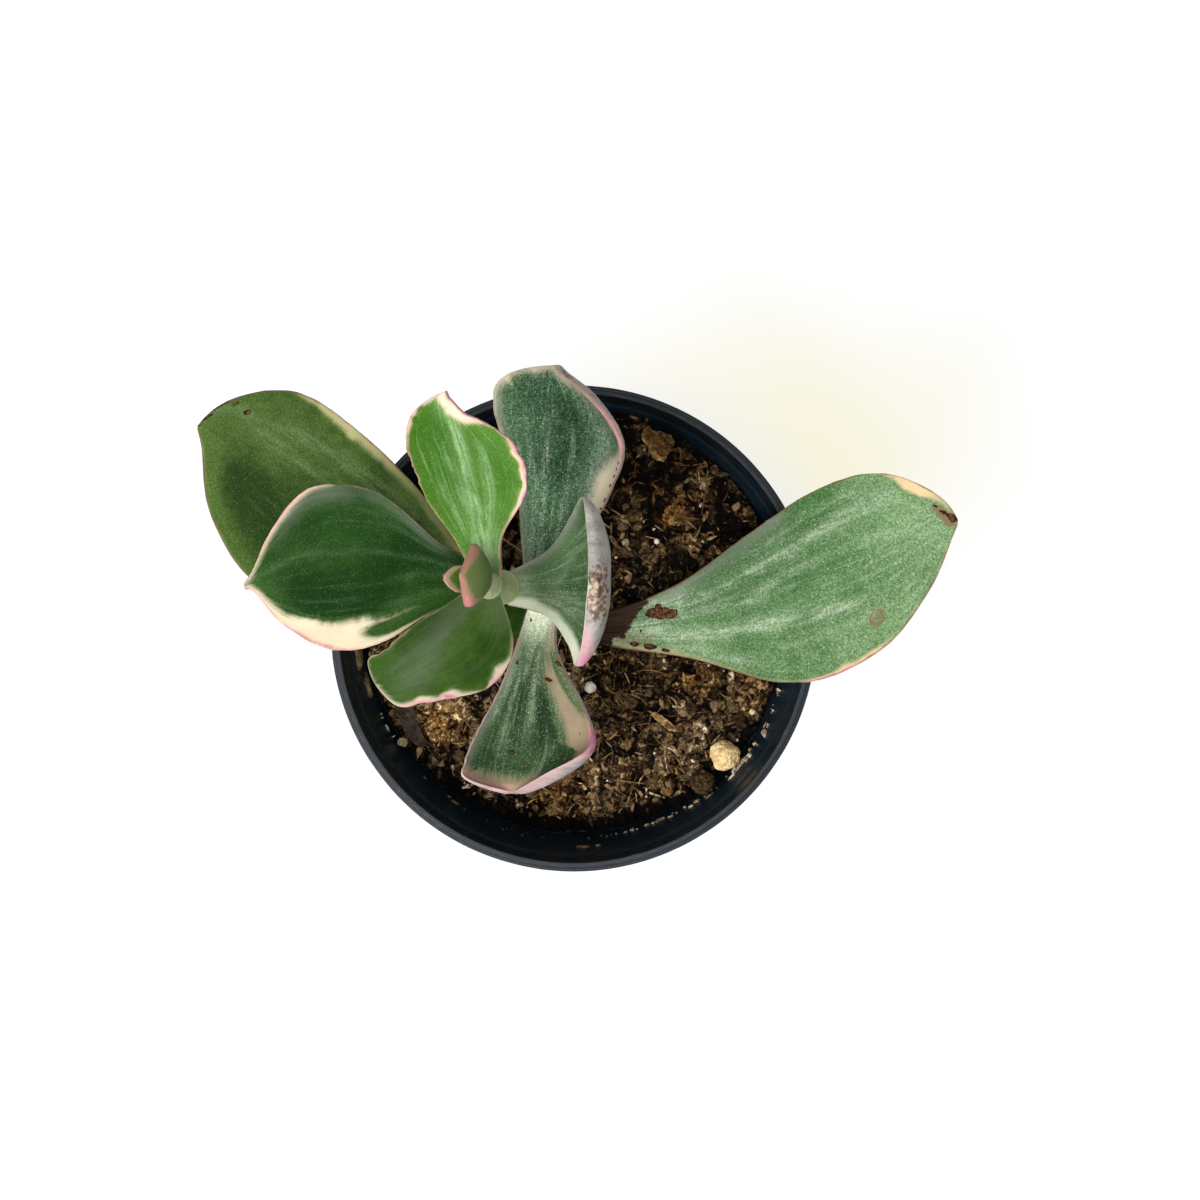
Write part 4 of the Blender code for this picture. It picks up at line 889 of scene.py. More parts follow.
def stroke(leaf, path, s, across, reach_width):
    """Closeness, from 0 to 1, to a line drawn on the leaf through (s, t) points."""
    half_width, strength, points = path
    rows = np.asarray(sorted(points))
    t = np.interp(s, rows[:, 0], rows[:, 1])
    miss = np.abs(across - t * reach_width) / half_width
    fade = max(3.0, half_width) / leaf["length"]
    first, last = rows[0, 0], rows[-1, 0]
    near = np.exp(-miss * miss)
    if last < 0.95:  # otherwise it runs out over the tip
        near = near * (1.0 - smoothstep(last - fade, last + fade, s))
    if first >= 0.06 or last >= 0.95:  # otherwise it comes out of the petiole
        near = near * smoothstep(first - fade, first + fade, s)
    return strength * near


def blots(leaf, spots, s, t, width, share):
    """Strength of round marks given as (s, t, radius, stretch, strength)."""
    mark = np.zeros(s.shape)
    for at, to, radius, stretch, strength in spots:
        miss = np.hypot((t - to) * width / radius, (s - at) * leaf["length"] / (radius * stretch))
        mark = np.maximum(mark, strength * (1.0 - smoothstep(0.5, 1.5, miss)))
    return mark * share


def leaf_markings(leaf, s, t, width, under):
    """The leaf's markings as named vertex attributes."""
    across = t * width
    along = s * leaf["length"]
    steps = np.linspace(0.0, 1.0, OUTLINE_STEPS)
    rims, places = {}, {}
    for hand, sign in (("left", 1.0), ("right", -1.0)):
        half = np.maximum(LEAST_HALF_WIDTH, spline((*leaf[hand], 0.0), steps))
        rims[hand] = np.where(sign * t >= 0.0, np.maximum(0.0, width * (1.0 - sign * t)), np.inf)
        places[hand] = s
        for x, at in zip(sign * half, np.sin(steps * math.pi / 2)):
            gap = np.hypot(across - x, along - at * leaf["length"])
            places[hand] = np.where(gap < rims[hand], at, places[hand])
            rims[hand] = np.minimum(rims[hand], gap)
    rim = np.minimum(rims["left"], rims["right"])
    cream, depth = margin_zone(leaf, "cream", places, rims, leaf["soft"])
    halo = margin_zone(leaf, "cream", places, rims, 1.0, extra=0.5)[0] * depth
    flush, rosy = margin_zone(leaf, "flush", places, rims, 0.45)

    def strokes(kind):
        return [stroke(leaf, path, s, across, width) for path in leaf[kind]]

    for green in strokes("tongues"):
        cream = cream * (1.0 - np.minimum(1.0, 1.5 * green))
    tone = sum(strokes("tones"), np.full(s.shape, 0.5))
    pale, painted_sheen = (np.max([np.zeros(s.shape), *strokes(kind)], axis=0) for kind in ("streaks", "painted_sheens"))
    top = 1.0 - under
    stain = blots(leaf, leaf["stains"], s, t, width, top)
    for at, to, radius in leaf["rings"]:
        miss = np.hypot((t - to) * width, (s - at) * leaf["length"])
        stain = np.maximum(stain, 0.9 * np.exp(-((miss - radius) / 0.3) ** 2) * top)
    return dict(across=across, along=along, fan=10.0 * t, rim=rim, under=under, cream=cream,
                cream_depth=depth, halo=halo, flush=flush * rosy, tone=tone, stain=stain,
                scar=blots(leaf, leaf["scars"], s, t, width, top), pale=pale, painted_sheen=painted_sheen,
                rust=blots(leaf, leaf["below"], s, t, width, under),
                dead=blots(leaf, leaf["dead"], s, t, width, 1.0))


def build_leaf(name):
    """The leaf's two faces as one closed mesh, waved, grooved and sunk at its scars."""
    leaf = LEAVES[name]
    widest = max(*leaf["left"], *leaf["right"])
    cell = CELL if leaf["length"] > SMALL_LEAF else CELL / 2.5
    rows = int(leaf["length"] / cell)
    columns = int(2.2 * widest / cell)
    place = np.linspace(0.0, 1.0, rows + 1)[:-1]
    reach = np.sin(np.linspace(-math.pi / 2, math.pi / 2, columns + 1))
    upper, upper_normal, width = leaf_sheet(leaf, place, reach, True)
    lower, lower_normal, _ = leaf_sheet(leaf, place, reach, False)
    back = slice(-2, 0, -1)
    points = np.concatenate([upper, lower[:, back]], axis=1)
    normals = np.concatenate([upper_normal, lower_normal[:, back]], axis=1)
    t = np.concatenate([reach, reach[back]])[None, :] + 0 * points[..., 0]
    half = np.concatenate([width, width[:, back]], axis=1)
    s = np.sin(place * math.pi / 2)[:, None] + 0 * t
    under = np.concatenate([np.zeros(reach.shape), np.ones(columns - 1)])[None, :] + 0 * t
    marks = leaf_markings(leaf, s, t, half, under)

    grid = np.stack([marks["across"], marks["along"], under * 40.0], axis=-1)
    swell = 0.16 * noise_field(grid, 0.10, leaf["seed"])
    grooves = 0.035 * noise_field(grid * (0.8, 0.05, 1.0), 1.0, leaf["seed"] + 3.0)
    away = smoothstep(0.0, 2.5, marks["rim"])
    hurt = np.maximum(marks["scar"], 0.7 * marks["dead"])
    sunk = 0.12 * smoothstep(0.3, 0.9, hurt) * away
    points = points + normals * ((swell + grooves) * away - sunk)[..., None]
    low, high = (np.array(corner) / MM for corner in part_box(name))
    points = np.clip(points, low, high)

    loop = points.shape[1]
    tip = np.clip(midrib(leaf, np.array([1.0])), low, high)
    faces = tube_faces(rows, loop)
    last = (rows - 1) * loop
    faces += [(last + i, last + (i + 1) % loop, rows * loop) for i in range(loop)]
    faces.append(tuple(range(loop - 1, -1, -1)))
    end = dict(across=0.0, along=leaf["length"], rim=0.0, under=0.0, painted_sheen=0.0, fan=0.0)
    attributes = {key: np.append(values.ravel(), end.get(key, float(values[-1].mean())))
                  for key, values in marks.items()}
    cloud = np.concatenate([points.reshape(-1, 3), tip])
    obj = mesh_object("jade_" + name, cloud, faces, leaf_material("jade_" + name, leaf), attributes)
    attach(obj, "root")
    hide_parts(name)


# ---- stem -----------------------------------------------------------------------------------------
def build_stem():
    """Tube along the stem with a soft collar and a ring at each pair of leaves."""
    rings, sides = 260, 56
    place = np.linspace(0.0, 1.0, rings)
    centres, radii = (spline(values, place) for values in zip(*STEM_STATIONS))
    collar = sum(np.exp(-((place - at) / 0.016) ** 2) for at in STEM_JOINTS)
    groove = sum(np.exp(-((place - at - 0.022) / 0.0035) ** 2) for at in STEM_JOINTS)
    ahead = np.gradient(centres, axis=0)
    across = np.cross((0.0, 1.0, 0.0), ahead)
    across = across / np.linalg.norm(across, axis=1)[:, None]
    along = np.cross(ahead, across)
    along = along / np.linalg.norm(along, axis=1)[:, None]
    turn = full_turn(sides)
    outward = (across[:, None, :] * np.cos(turn)[None, :, None]
               + along[:, None, :] * np.sin(turn)[None, :, None])
    points = centres[:, None, :] + outward * radii[:, None, None]
    rough = 0.10 * noise_field(points, 0.35, 2.0) + 0.05 * noise_field(points * (1, 1, 0.3), 1.4, 5.0)
    bulge = (0.12 * collar - 0.14 * groove)[:, None] + rough - 0.12
    points = points + outward * bulge[..., None]
    height = points[..., 2]
    marks = dict(ring=np.broadcast_to(groove[:, None], height.shape),
                 old=smoothstep(86.0, 70.0, height))
    obj = mesh_object("jade_stem", points.reshape(-1, 3), closed_tube(rings, sides), stem_material(),
                      marks)
    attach(obj, "root")
    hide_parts("stem")


# ---- pot -------------------------------------------------------------------------------------------
def wall_inner_radius(z):
    """Radius of the tapered wall's inner face at a height."""
    top = POT_HEIGHT - COLLAR_HEIGHT
    slope = (COLLAR_INNER_RADIUS + 0.5 - POT_BASE_RADIUS) / (top - 0.7)
    return POT_BASE_RADIUS + slope * (z - 0.7) - WALL


def pot_profile():
    """(radius, height, corner radius) outline from the centre below to the centre above."""
    collar_foot = POT_HEIGHT - COLLAR_HEIGHT
    foot_inner = POT_BASE_RADIUS - 0.5 - FOOT_WIDTH
    lip = COLLAR_INNER_RADIUS
    step = POT_HEIGHT - 6.0
    return [
        (0.0, 0.0, 0.0),
        (CENTRE_PAD_RADIUS, 0.0, 0.15),
        (CENTRE_PAD_RADIUS + 0.6, FLOOR_UNDERSIDE, 0.3),
        (foot_inner - 0.6, FLOOR_UNDERSIDE, 0.3),
        (foot_inner, 0.0, 0.15),
        (POT_BASE_RADIUS - 0.5, 0.0, 0.2),
        (POT_BASE_RADIUS, 0.7, 0.3),
        (lip + 0.5, collar_foot, 0.25),
        (lip + 1.15, collar_foot + 0.5, 0.25),
        (lip + 1.25, POT_HEIGHT - 3.2, 0.2),
        (POT_RIM_RADIUS - 0.25, POT_HEIGHT - 2.9, 0.15),
        (POT_RIM_RADIUS, POT_HEIGHT - 2.5, 0.25),
        (POT_RIM_RADIUS, POT_HEIGHT - 1.2, 0.25),
        (POT_RIM_RADIUS - 0.2, POT_HEIGHT - 0.85, 0.12),
        (POT_RIM_RADIUS - 0.55, POT_HEIGHT - 0.85, 0.12),
        (POT_RIM_RADIUS - 0.6, POT_HEIGHT - 0.3, 0.12),
        (POT_RIM_RADIUS - 0.9, POT_HEIGHT, 0.25),
        (lip + 0.15, POT_HEIGHT, 0.15),
        (lip + 0.02, POT_HEIGHT - 0.25, 0.15),
        (lip, step, 0.15),
        (wall_inner_radius(step - 0.6), step - 0.6, 0.15),
        (wall_inner_radius(FLOOR_TOP + 0.8), FLOOR_TOP + 0.8, 0.6),
        (wall_inner_radius(FLOOR_TOP) - 0.6, FLOOR_TOP, 0.3),
        (0.0, FLOOR_TOP, 0.0),
    ]


def rounded(outline, steps=4):
    """Outline with its corners rounded and its long runs divided."""
    points = []
    for i, (x, z, radius) in enumerate(outline):
        corner = np.array([x, z])
        if radius == 0.0:
            points.append(corner)
            continue
        ends = []
        for other in (outline[i - 1], outline[i + 1]):
            toward = np.array(other[:2]) - corner
            length = np.linalg.norm(toward)
            ends.append(corner + toward * min(radius, 0.45 * length) / length)
        for k in range(steps + 1):
            f = k / steps
            points.append(ends[0] * (1 - f) ** 2 + corner * 2 * f * (1 - f) + ends[1] * f * f)
    fine = [points[0]]
    for before, after in zip(points, points[1:]):
        parts = max(1, int(np.linalg.norm(after - before) / 3.0))
        fine += [before + (after - before) * (k + 1) / parts for k in range(parts)]
    return np.array(fine)


def build_pot():
    """The turned shell with a slightly wavy, nicked lip, and its drain holes."""
    outline = rounded(pot_profile())
    body = outline[1:-1]
    segments = 240
    turn = full_turn(segments)
    radius, height = body[:, :1], body[:, 1:]
    ring = points_at(np.cos(turn), np.sin(turn))[None]
    points = ring * radius[..., None] + np.array([0.0, 0.0, 1.0]) * (height + 0 * turn)[..., None]
    near_lip = smoothstep(POT_HEIGHT - 3.4, POT_HEIGHT - 2.2, points[..., 2])
    waver = noise_field(points, 0.12, 1.0) * 0.05 + noise_field(points, 0.9, 2.0) * 0.035
    nick = smoothstep(0.42, 0.6, noise_field(points, 0.55, 7.0)) * 0.12
    inset = near_lip * (np.minimum(0.0, waver) - nick)
    points = points + ring * inset[..., None]
    inner = (np.arange(len(body)) > len(body) // 2)[:, None]
    depth = points[..., 2] - SOIL_CENTRE_HEIGHT - SOIL_SLOPE * points[..., 1]
    splash = np.where(inner & (radius > 35.0), 1.0 - smoothstep(-1.0, 6.5, depth), 0.0)
    # the inner wall below the lip, where the colour carries painted light
    painted_light_within = np.where(inner, 1.0 - near_lip, 0.0)
    centres = np.array([[0.0, 0.0, outline[0][1]], [0.0, 0.0, outline[-1][1]]])
    below = len(body) * segments
    last = below - segments
    faces = tube_faces(len(body), segments)
    faces += [(below, (i + 1) % segments, i) for i in range(segments)]
    faces += [(below + 1, last + i, last + (i + 1) % segments) for i in range(segments)]
    marks = dict(lip=near_lip, splash=splash, painted_light_within=painted_light_within)
    marks = {name: np.append(values.ravel(), [0.0, 0.0]) for name, values in marks.items()}
    pot = mesh_object("nursery_pot", np.concatenate([points.reshape(-1, 3), centres]), faces,
                      pot_material(), marks)
    drill_drain_holes(pot)
    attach(pot, "root")
    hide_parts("pot")


def drill_drain_holes(pot):
    """Cut the ring of round holes through the pot's floor."""
    bm = bmesh.new()
    for i in range(DRAIN_COUNT):
        turn = 2.0 * math.pi * (i + 0.5) / DRAIN_COUNT
        place = Vector((math.cos(turn), math.sin(turn), 0.0)) * DRAIN_CIRCLE_RADIUS
        place.z = (FLOOR_TOP + FLOOR_UNDERSIDE) / 2.0
        bmesh.ops.create_cone(bm, cap_ends=True, segments=40, radius1=DRAIN_RADIUS * MM,
                              radius2=DRAIN_RADIUS * MM, depth=4.0 * MM,
                              matrix=Matrix.Translation(place * MM))
    mesh = bpy.data.meshes.new("drain_cutters")
    bm.to_mesh(mesh)
    bm.free()
    cutter = bpy.data.objects.new("drain_cutters", mesh)
    bpy.context.scene.collection.objects.link(cutter)
    modifier = pot.modifiers.new("drain_holes", "BOOLEAN")
    modifier.object = cutter
    modifier.solver = "EXACT"
    depsgraph = bpy.context.evaluated_depsgraph_get()
    drilled = bpy.data.meshes.new_from_object(pot.evaluated_get(depsgraph))
    pot.modifiers.clear()
    pot.data = drilled
    bpy.data.objects.remove(cutter, do_unlink=True)
    drilled.set_sharp_from_angle(angle=math.radians(40.0))


# ---- soil ------------------------------------------------------------------------------------------
def soil_edge_radius(turn):
    """Radius of the soil's outline at a bearing: drawn in at the front, full at the back."""
    forward = -np.sin(turn)
    return (SOIL_EDGE_RADIUS - SOIL_FRONT_SHRINK * np.maximum(0.0, forward)
            + SOIL_BACK_REACH * np.maximum(0.0, -forward))


def edge_share(x, y):
    """How far out each point lies, from 0 in the middle to 1 at the soil's edge."""
    return np.hypot(x, y) / soil_edge_radius(np.arctan2(y, x))


def soil_height(x, y):
    """Height of the packed soil, as in the CAD source."""
    share = edge_share(x, y)
    bumps = noise_field(points_at(x * 0.09, y * 0.09, 3.7), 1.0) * SOIL_BUMP * 2.0
    edge = np.maximum(0.0, (share - 1.0) / SOIL_SHOULDER_SHARE + 1.0)
    return SOIL_CENTRE_HEIGHT + SOIL_SLOPE * y + bumps - SOIL_SHOULDER * edge * edge


def chunks(x, y, size, seed):
    """Irregular cells: how far inside its cell each point lies, and a row with the point's offset
    from the cell's centre and three random numbers of the cell."""
    table = np.random.default_rng(seed).random((64, 64, 5))
    column, row = np.floor(x / size).astype(int), np.floor(y / size).astype(int)
    nearest = np.full(x.shape, np.inf)
    second = np.full(x.shape, np.inf)
    found = np.zeros(x.shape + (5,))
    for i in (-1, 0, 1):
        for j in (-1, 0, 1):
            cell = table[(column + i) % 64, (row + j) % 64].copy()
            cell[..., 0] = x - (column + i + 0.1 + 0.8 * cell[..., 0]) * size
            cell[..., 1] = y - (row + j + 0.1 + 0.8 * cell[..., 1]) * size
            distance = np.hypot(cell[..., 0], cell[..., 1])
            closer = distance < nearest
            second = np.where(closer, nearest, np.minimum(second, distance))
            nearest = np.where(closer, distance, nearest)
            found = np.where(closer[..., None], cell, found)
    return (second - nearest) / size, found


def soil_warmth(x, y):
    """Patches of ochre, crumbly bark among the darker peat, from 0 to 1."""
    points = points_at(x, y)
    warmth = 0.6 * smoothstep(-0.1, 0.5, noise_field(points, 0.11, 11.0))
    for at_x, at_y, radius in OCHRE_PATCHES:
        warmth = np.maximum(warmth, 1.3 * np.exp(-((x - at_x) ** 2 + (y - at_y) ** 2) / radius ** 2))
    return warmth * (0.8 + 0.4 * noise_field(points, 0.6, 12.0))


def soil_shade(x, y):
    """How much darker the soil is painted: in scattered dark patches; in painted shade toward the back,
    under the leaves; and less on the left, where painted light lifts it.
    """
    dark_patches = smoothstep(0.10, 0.36, noise_field(points_at(x, y), 0.15, 13.0))
    # painted shade toward the back; the last term below is painted light on the left
    back = smoothstep(4.0, 26.0, 0.5 * x + 0.87 * y)
    return (0.12 + 0.2 * back) * dark_patches + 0.07 * back - 0.16 * smoothstep(8.0, 25.0, -x)


def soil_surface(x, y):
    """Height of the loose crust above the packed soil, and its tone: crumbs in crumbs, with painted
    shade in the gaps between them and along the front edge, less the painted light and shade of
    soil_shade.
    """
    points = points_at(x, y)
    bent_x = x + 1.1 * noise_field(points, 0.45, 1.0) + 0.6 * noise_field(points, 1.3, 2.0)
    bent_y = y + 1.1 * noise_field(points, 0.45, 3.0) + 0.6 * noise_field(points, 1.3, 4.0)
    height = 0.35 * noise_field(points, 0.10, 5.0)
    tone = 0.50 + 0.22 * noise_field(points, 0.085, 6.0) + 0.16 * soil_warmth(x, y)
    for size, tall, tint, seed in CRUST_LAYERS:
        inside, cell = chunks(bent_x, bent_y, size, seed)
        raised = smoothstep(0.0, 0.22, inside)
        lean = (cell[..., 3] - 0.5) * cell[..., 0] + (cell[..., 4] - 0.5) * cell[..., 1]
        height = height + tall * (0.8 * (cell[..., 2] - 0.6) + 0.55 * raised - 0.3 + 1.3 * lean / size)
        # painted shade: the tone drops in the gaps between raised crumbs
        tone = tone + tint * (2.0 * cell[..., 3] - 1.0) - 0.34 * (1.0 - raised) * tint / 0.2
    # painted shade along the soil's front edge, by the wall
    forward = -y / np.maximum(np.hypot(x, y), 1e-6)
    rim = smoothstep(0.93, 1.0, edge_share(x, y))
    tone = tone - 0.45 * rim * smoothstep(0.5, 0.95, forward)
    return height, tone - soil_shade(x, y)


def crust_height(x, y):
    """Height of the soil with its loose crust."""
    return soil_height(x, y) + soil_surface(x, y)[0]


def build_soil():
    """The crust as a fine sheet, bent from a square grid to the soil's outline, and its sides."""
    cells = 294
    line = np.linspace(-1.0, 1.0, cells + 1)
    u, v = np.meshgrid(line, line, indexing="ij")
    flat_x, flat_y = u * np.sqrt(1.0 - 0.5 * v * v), v * np.sqrt(1.0 - 0.5 * u * u)
    turn = np.arctan2(flat_y, flat_x)
    edge = soil_edge_radius(turn)
    wave = noise_field(points_at(np.cos(turn) * 9, np.sin(turn) * 9), 1.0)
    ragged = edge * (1.0 + 0.02 * wave * np.hypot(flat_x, flat_y))
    x, y = flat_x * ragged, flat_y * ragged
    height, tone = soil_surface(x, y)
    points = points_at(x, y, soil_height(flat_x * edge, flat_y * edge) + height).reshape(-1, 3)
    index = np.arange((cells + 1) ** 2).reshape(cells + 1, cells + 1)
    faces = np.stack([index[:-1, :-1], index[1:, :-1], index[1:, 1:], index[:-1, 1:]], axis=-1)
    faces = faces.reshape(-1, 4).tolist()
    border = np.concatenate([index[:-1, 0], index[-1, :-1], index[:0:-1, -1], index[0, :0:-1]])
    above = border
    around = np.arctan2(points[border, 1], points[border, 0])
    for drop, room in ((1.6, 0.5), (4.0, 0.3)):
        level = points[border, 2] - drop
        radius = wall_inner_radius(level) - room
        side = points_at(radius * np.cos(around), radius * np.sin(around), level)
        below = len(points) + np.arange(len(border))
        points = np.concatenate([points, side])
        faces += np.stack([above, below, np.roll(below, -1), np.roll(above, -1)], axis=-1).tolist()
        above = below
    # painted shade: the soil's sides, in the gap by the wall, get a near-black tone
    tone = np.append(tone.ravel(), np.full(2 * len(border), 0.06))
    warm = soil_warmth(points[:, 0], points[:, 1])
    obj = mesh_object("soil_surface", points, faces, earth_material("soil_peat", 0.75, 1.0),
                      dict(tone=tone, warm=warm))
    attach(obj, "root")
    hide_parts("soil")


def scatter(rng, count, reach=0.985, clear=3.9):
    """Random places on the soil, clear of the stem."""
    x, y = np.zeros(0), np.zeros(0)
    while len(x) < count:
        turn = rng.uniform(-math.pi, math.pi, count)
        radius = np.sqrt(rng.uniform(0.0, 1.0, count)) * soil_edge_radius(turn) * reach
        new_x, new_y = radius * np.cos(turn), radius * np.sin(turn)
        keep = np.hypot(new_x - FOOT_OF_STEM[0], new_y - FOOT_OF_STEM[1]) > clear
        x, y = np.append(x, new_x[keep]), np.append(y, new_y[keep])
    return x[:count], y[:count]


def random_turns(rng, count, flat=1.0):
    """Rotation matrices; flat below 1 keeps each piece's own Z near the vertical."""
    heading = rng.uniform(0.0, 2.0 * math.pi, count)
    tilt = rng.normal(0.0, 1.0, count) * flat
    spin = rng.uniform(0.0, 2.0 * math.pi, count)
    return np.array([Matrix.Rotation(a, 3, "Z") @ Matrix.Rotation(b, 3, "X")
                     @ Matrix.Rotation(c, 3, "Z") for a, b, c in zip(heading, tilt, spin)])


def lumps(name, rng, x, y, sizes, tones, material, flat=1.0, lift=0.3, z=None, fine=1):
    """Many rough grains in one mesh, each a jittered icosahedron, or a finer ball."""
    base, triangles = icosphere(fine)
    count = len(x)
    least, most = (0.55, 1.3) if fine == 1 else (0.84, 1.14)
    jitter = rng.uniform(least, most, (count, len(base), 1))
    wave = np.einsum("vk,nk->nv", base, rng.normal(0.0, 2.4, (count, 3)))
    wave = wave + rng.uniform(0.0, 6.3, (count, 1))
    jitter = jitter * (1.0 + 0.16 * np.sin(wave))[..., None]
    shape = base[None] * jitter * sizes[:, None, :]
    shape = np.einsum("nij,nkj->nki", random_turns(rng, count, flat), shape)
    if z is None:
        z = crust_height(x, y) + sizes.min(axis=1) * lift
    points = shape + points_at(x, y, z)[:, None, :]
    faces = triangles[None] + (np.arange(count) * len(base))[:, None, None]
    tone = np.repeat(tones, len(base)) + rng.uniform(-0.05, 0.05, count * len(base))
    warm = np.repeat(np.clip(soil_warmth(x, y) + rng.uniform(-0.4, 0.5, count), 0.0, 1.3), len(base))
    obj = mesh_object(name, points.reshape(-1, 3), faces.reshape(-1, 3).tolist(), material,
                      dict(tone=tone, warm=warm * (tone < 0.9)), smooth=False)
    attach(obj, "root")
    return obj


def soil_tones(rng, x, y, low, high):
    """Tone of each piece: patches of dark peat, ochre bark and paler fibre, less the painted light and
    shade of soil_shade.
    """
    patch = noise_field(points_at(x, y), 0.13, 9.0)
    return np.clip(rng.uniform(low, high, len(x)) + 0.22 * patch - soil_shade(x, y), 0.0, 1.0)


def build_crumbs(material):
    """Loose crumbs, clods, splinters of bark and tiny white grains on the crust."""
    rng = np.random.default_rng(11)
    for name, count, reach, size, spread, sides, tone, lie in CRUMBS:
        x, y = scatter(rng, count, reach)
        sizes = rng.uniform(*size, (count, 1)) * sides * rng.uniform(*spread, (count, 3))
        stays_white = name == "white_grit"
        tones = rng.uniform(*tone, count) if stays_white else soil_tones(rng, x, y, *tone)
        lumps(name, rng, x, y, sizes, tones, material, **lie)


def build_fibres(material):
    """Short stiff strands of coir, root and straw that lie on the soil, most of them in front."""
    rng = np.random.default_rng(23)
    count, segments, sides = 900, 6, 4
    x, y = scatter(rng, count, reach=0.96)
    flip = (y > 0.0) & (rng.random(count) < 0.45)
    y = np.where(flip, -y * 0.92, y)
    heading = rng.uniform(0.0, 2.0 * math.pi, count)
    curl = rng.normal(0.0, 0.55, count)
    length = rng.uniform(0.9, 3.6, count)
    length[:LONG_FIBRES] = rng.uniform(4.0, 8.0, LONG_FIBRES)
    thick = rng.uniform(0.09, 0.24, count)
    thick[:LONG_FIBRES] *= 0.7
    step = np.linspace(-0.5, 0.5, segments + 1)[None, :]
    angle = heading[:, None] + curl[:, None] * step
    dx = np.cumsum(np.cos(angle), axis=1) * (length / segments)[:, None]
    dy = np.cumsum(np.sin(angle), axis=1) * (length / segments)[:, None]
    px = x[:, None] + dx - dx.mean(axis=1, keepdims=True)
    py = y[:, None] + dy - dy.mean(axis=1, keepdims=True)
    limit = soil_edge_radius(np.arctan2(py, px)) * 0.97
    shrink = np.minimum(1.0, limit / np.maximum(np.hypot(px, py), 1e-6))
    px, py = px * shrink, py * shrink
    arch = rng.uniform(0.0, 0.7, count)[:, None] * (1.0 - (2.0 * step) ** 2)
    ground = crust_height(px, py)
    lean = np.linspace(0.0, 1.0, segments + 1)[None, :]
    rest = ground[:, :1] * (1.0 - lean) + ground[:, -1:] * lean
    pz = np.maximum(rest, ground - 0.5) + 0.25 + arch
    centre = points_at(px, py, pz)
    side = points_at(-np.sin(angle), np.cos(angle))
    up = np.array([0.0, 0.0, 1.0])
    taper = (1.0 - 0.7 * np.abs(2.0 * step) ** 3)[..., None]
    corners = []
    for k in range(sides):
        turn = 2.0 * math.pi * (k + 0.5) / sides
        outward = side * math.cos(turn) + up * math.sin(turn)
        corners.append(centre + outward * thick[:, None, None] * taper)
    points = np.stack(corners, axis=2)
    block = (segments + 1) * sides
    one = closed_tube(segments + 1, sides)
    faces = [tuple(i * block + v for v in face) for i in range(count) for face in one]
    tones = np.clip(rng.beta(2.0, 2.0, count) * 0.75 + 0.15, 0.0, 0.9)
    tones[:LONG_FIBRES] = rng.uniform(0.6, 0.9, LONG_FIBRES)
    warm = rng.uniform(0.0, 0.8, count)
    obj = mesh_object("soil_fibres", points.reshape(-1, 3), faces, material,
                      dict(tone=np.repeat(tones, block), warm=np.repeat(warm, block)))
    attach(obj, "root")


# ---- loose pieces ------------------------------------------------------------------------------------
def box_of(node):
    """Centre and half-sizes of a CAD solid's box."""
    low, high = (np.array(corner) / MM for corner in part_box(node))
    return (low + high) / 2.0, (high - low) / 2.0


def build_grain(name, seed, material, subdivisions, roughness, tone=None):
    """A rough ball that fills the box of its CAD solid."""
    centre, half = box_of(name)
    ball, triangles = icosphere(subdivisions)
    lump = 1.0 + 0.24 * noise_field(ball, 1.3, seed) + roughness * noise_field(ball, 4.0, seed + 1)
    pits = smoothstep(0.25, 0.6, noise_field(ball, 7.0, seed + 2))
    ball = ball * (lump - roughness * 1.1 * pits)[:, None]
    ball = ball / np.abs(ball).max(axis=0)
    marks = {} if tone is None else dict(tone=tone + 0.2 * noise_field(ball, 3.0, seed))
    obj = mesh_object("loose_" + name, centre + ball * half * 0.99, triangles.tolist(), material,
                      marks)
    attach(obj, "root")
    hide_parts(name)


def build_clump(name, seed, material, tones, count=260):
    """Crumbly cluster: small lumps over an ellipsoid that fills the CAD solid's box."""
    rng = np.random.default_rng(seed)
    centre, half = box_of(name)
    turn = rng.uniform(0.0, 2.0 * math.pi, count)
    level = rng.uniform(-0.3, 1.0, count)
    ring = np.sqrt(1.0 - level ** 2)
    sizes = rng.uniform(0.22, 0.55, (count, 1)) * rng.uniform(0.6, 1.1, (count, 3))
    room = np.maximum(half - 0.45, 0.2)
    fill = rng.uniform(0.55, 1.0, count)
    x = centre[0] + room[0] * ring * np.cos(turn) * fill
    y = centre[1] + room[1] * ring * np.sin(turn) * fill
    z = centre[2] + room[2] * level * fill
    obj = lumps("loose_" + name, rng, x, y, sizes, rng.uniform(*tones, count), material, z=z)
    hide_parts(name)


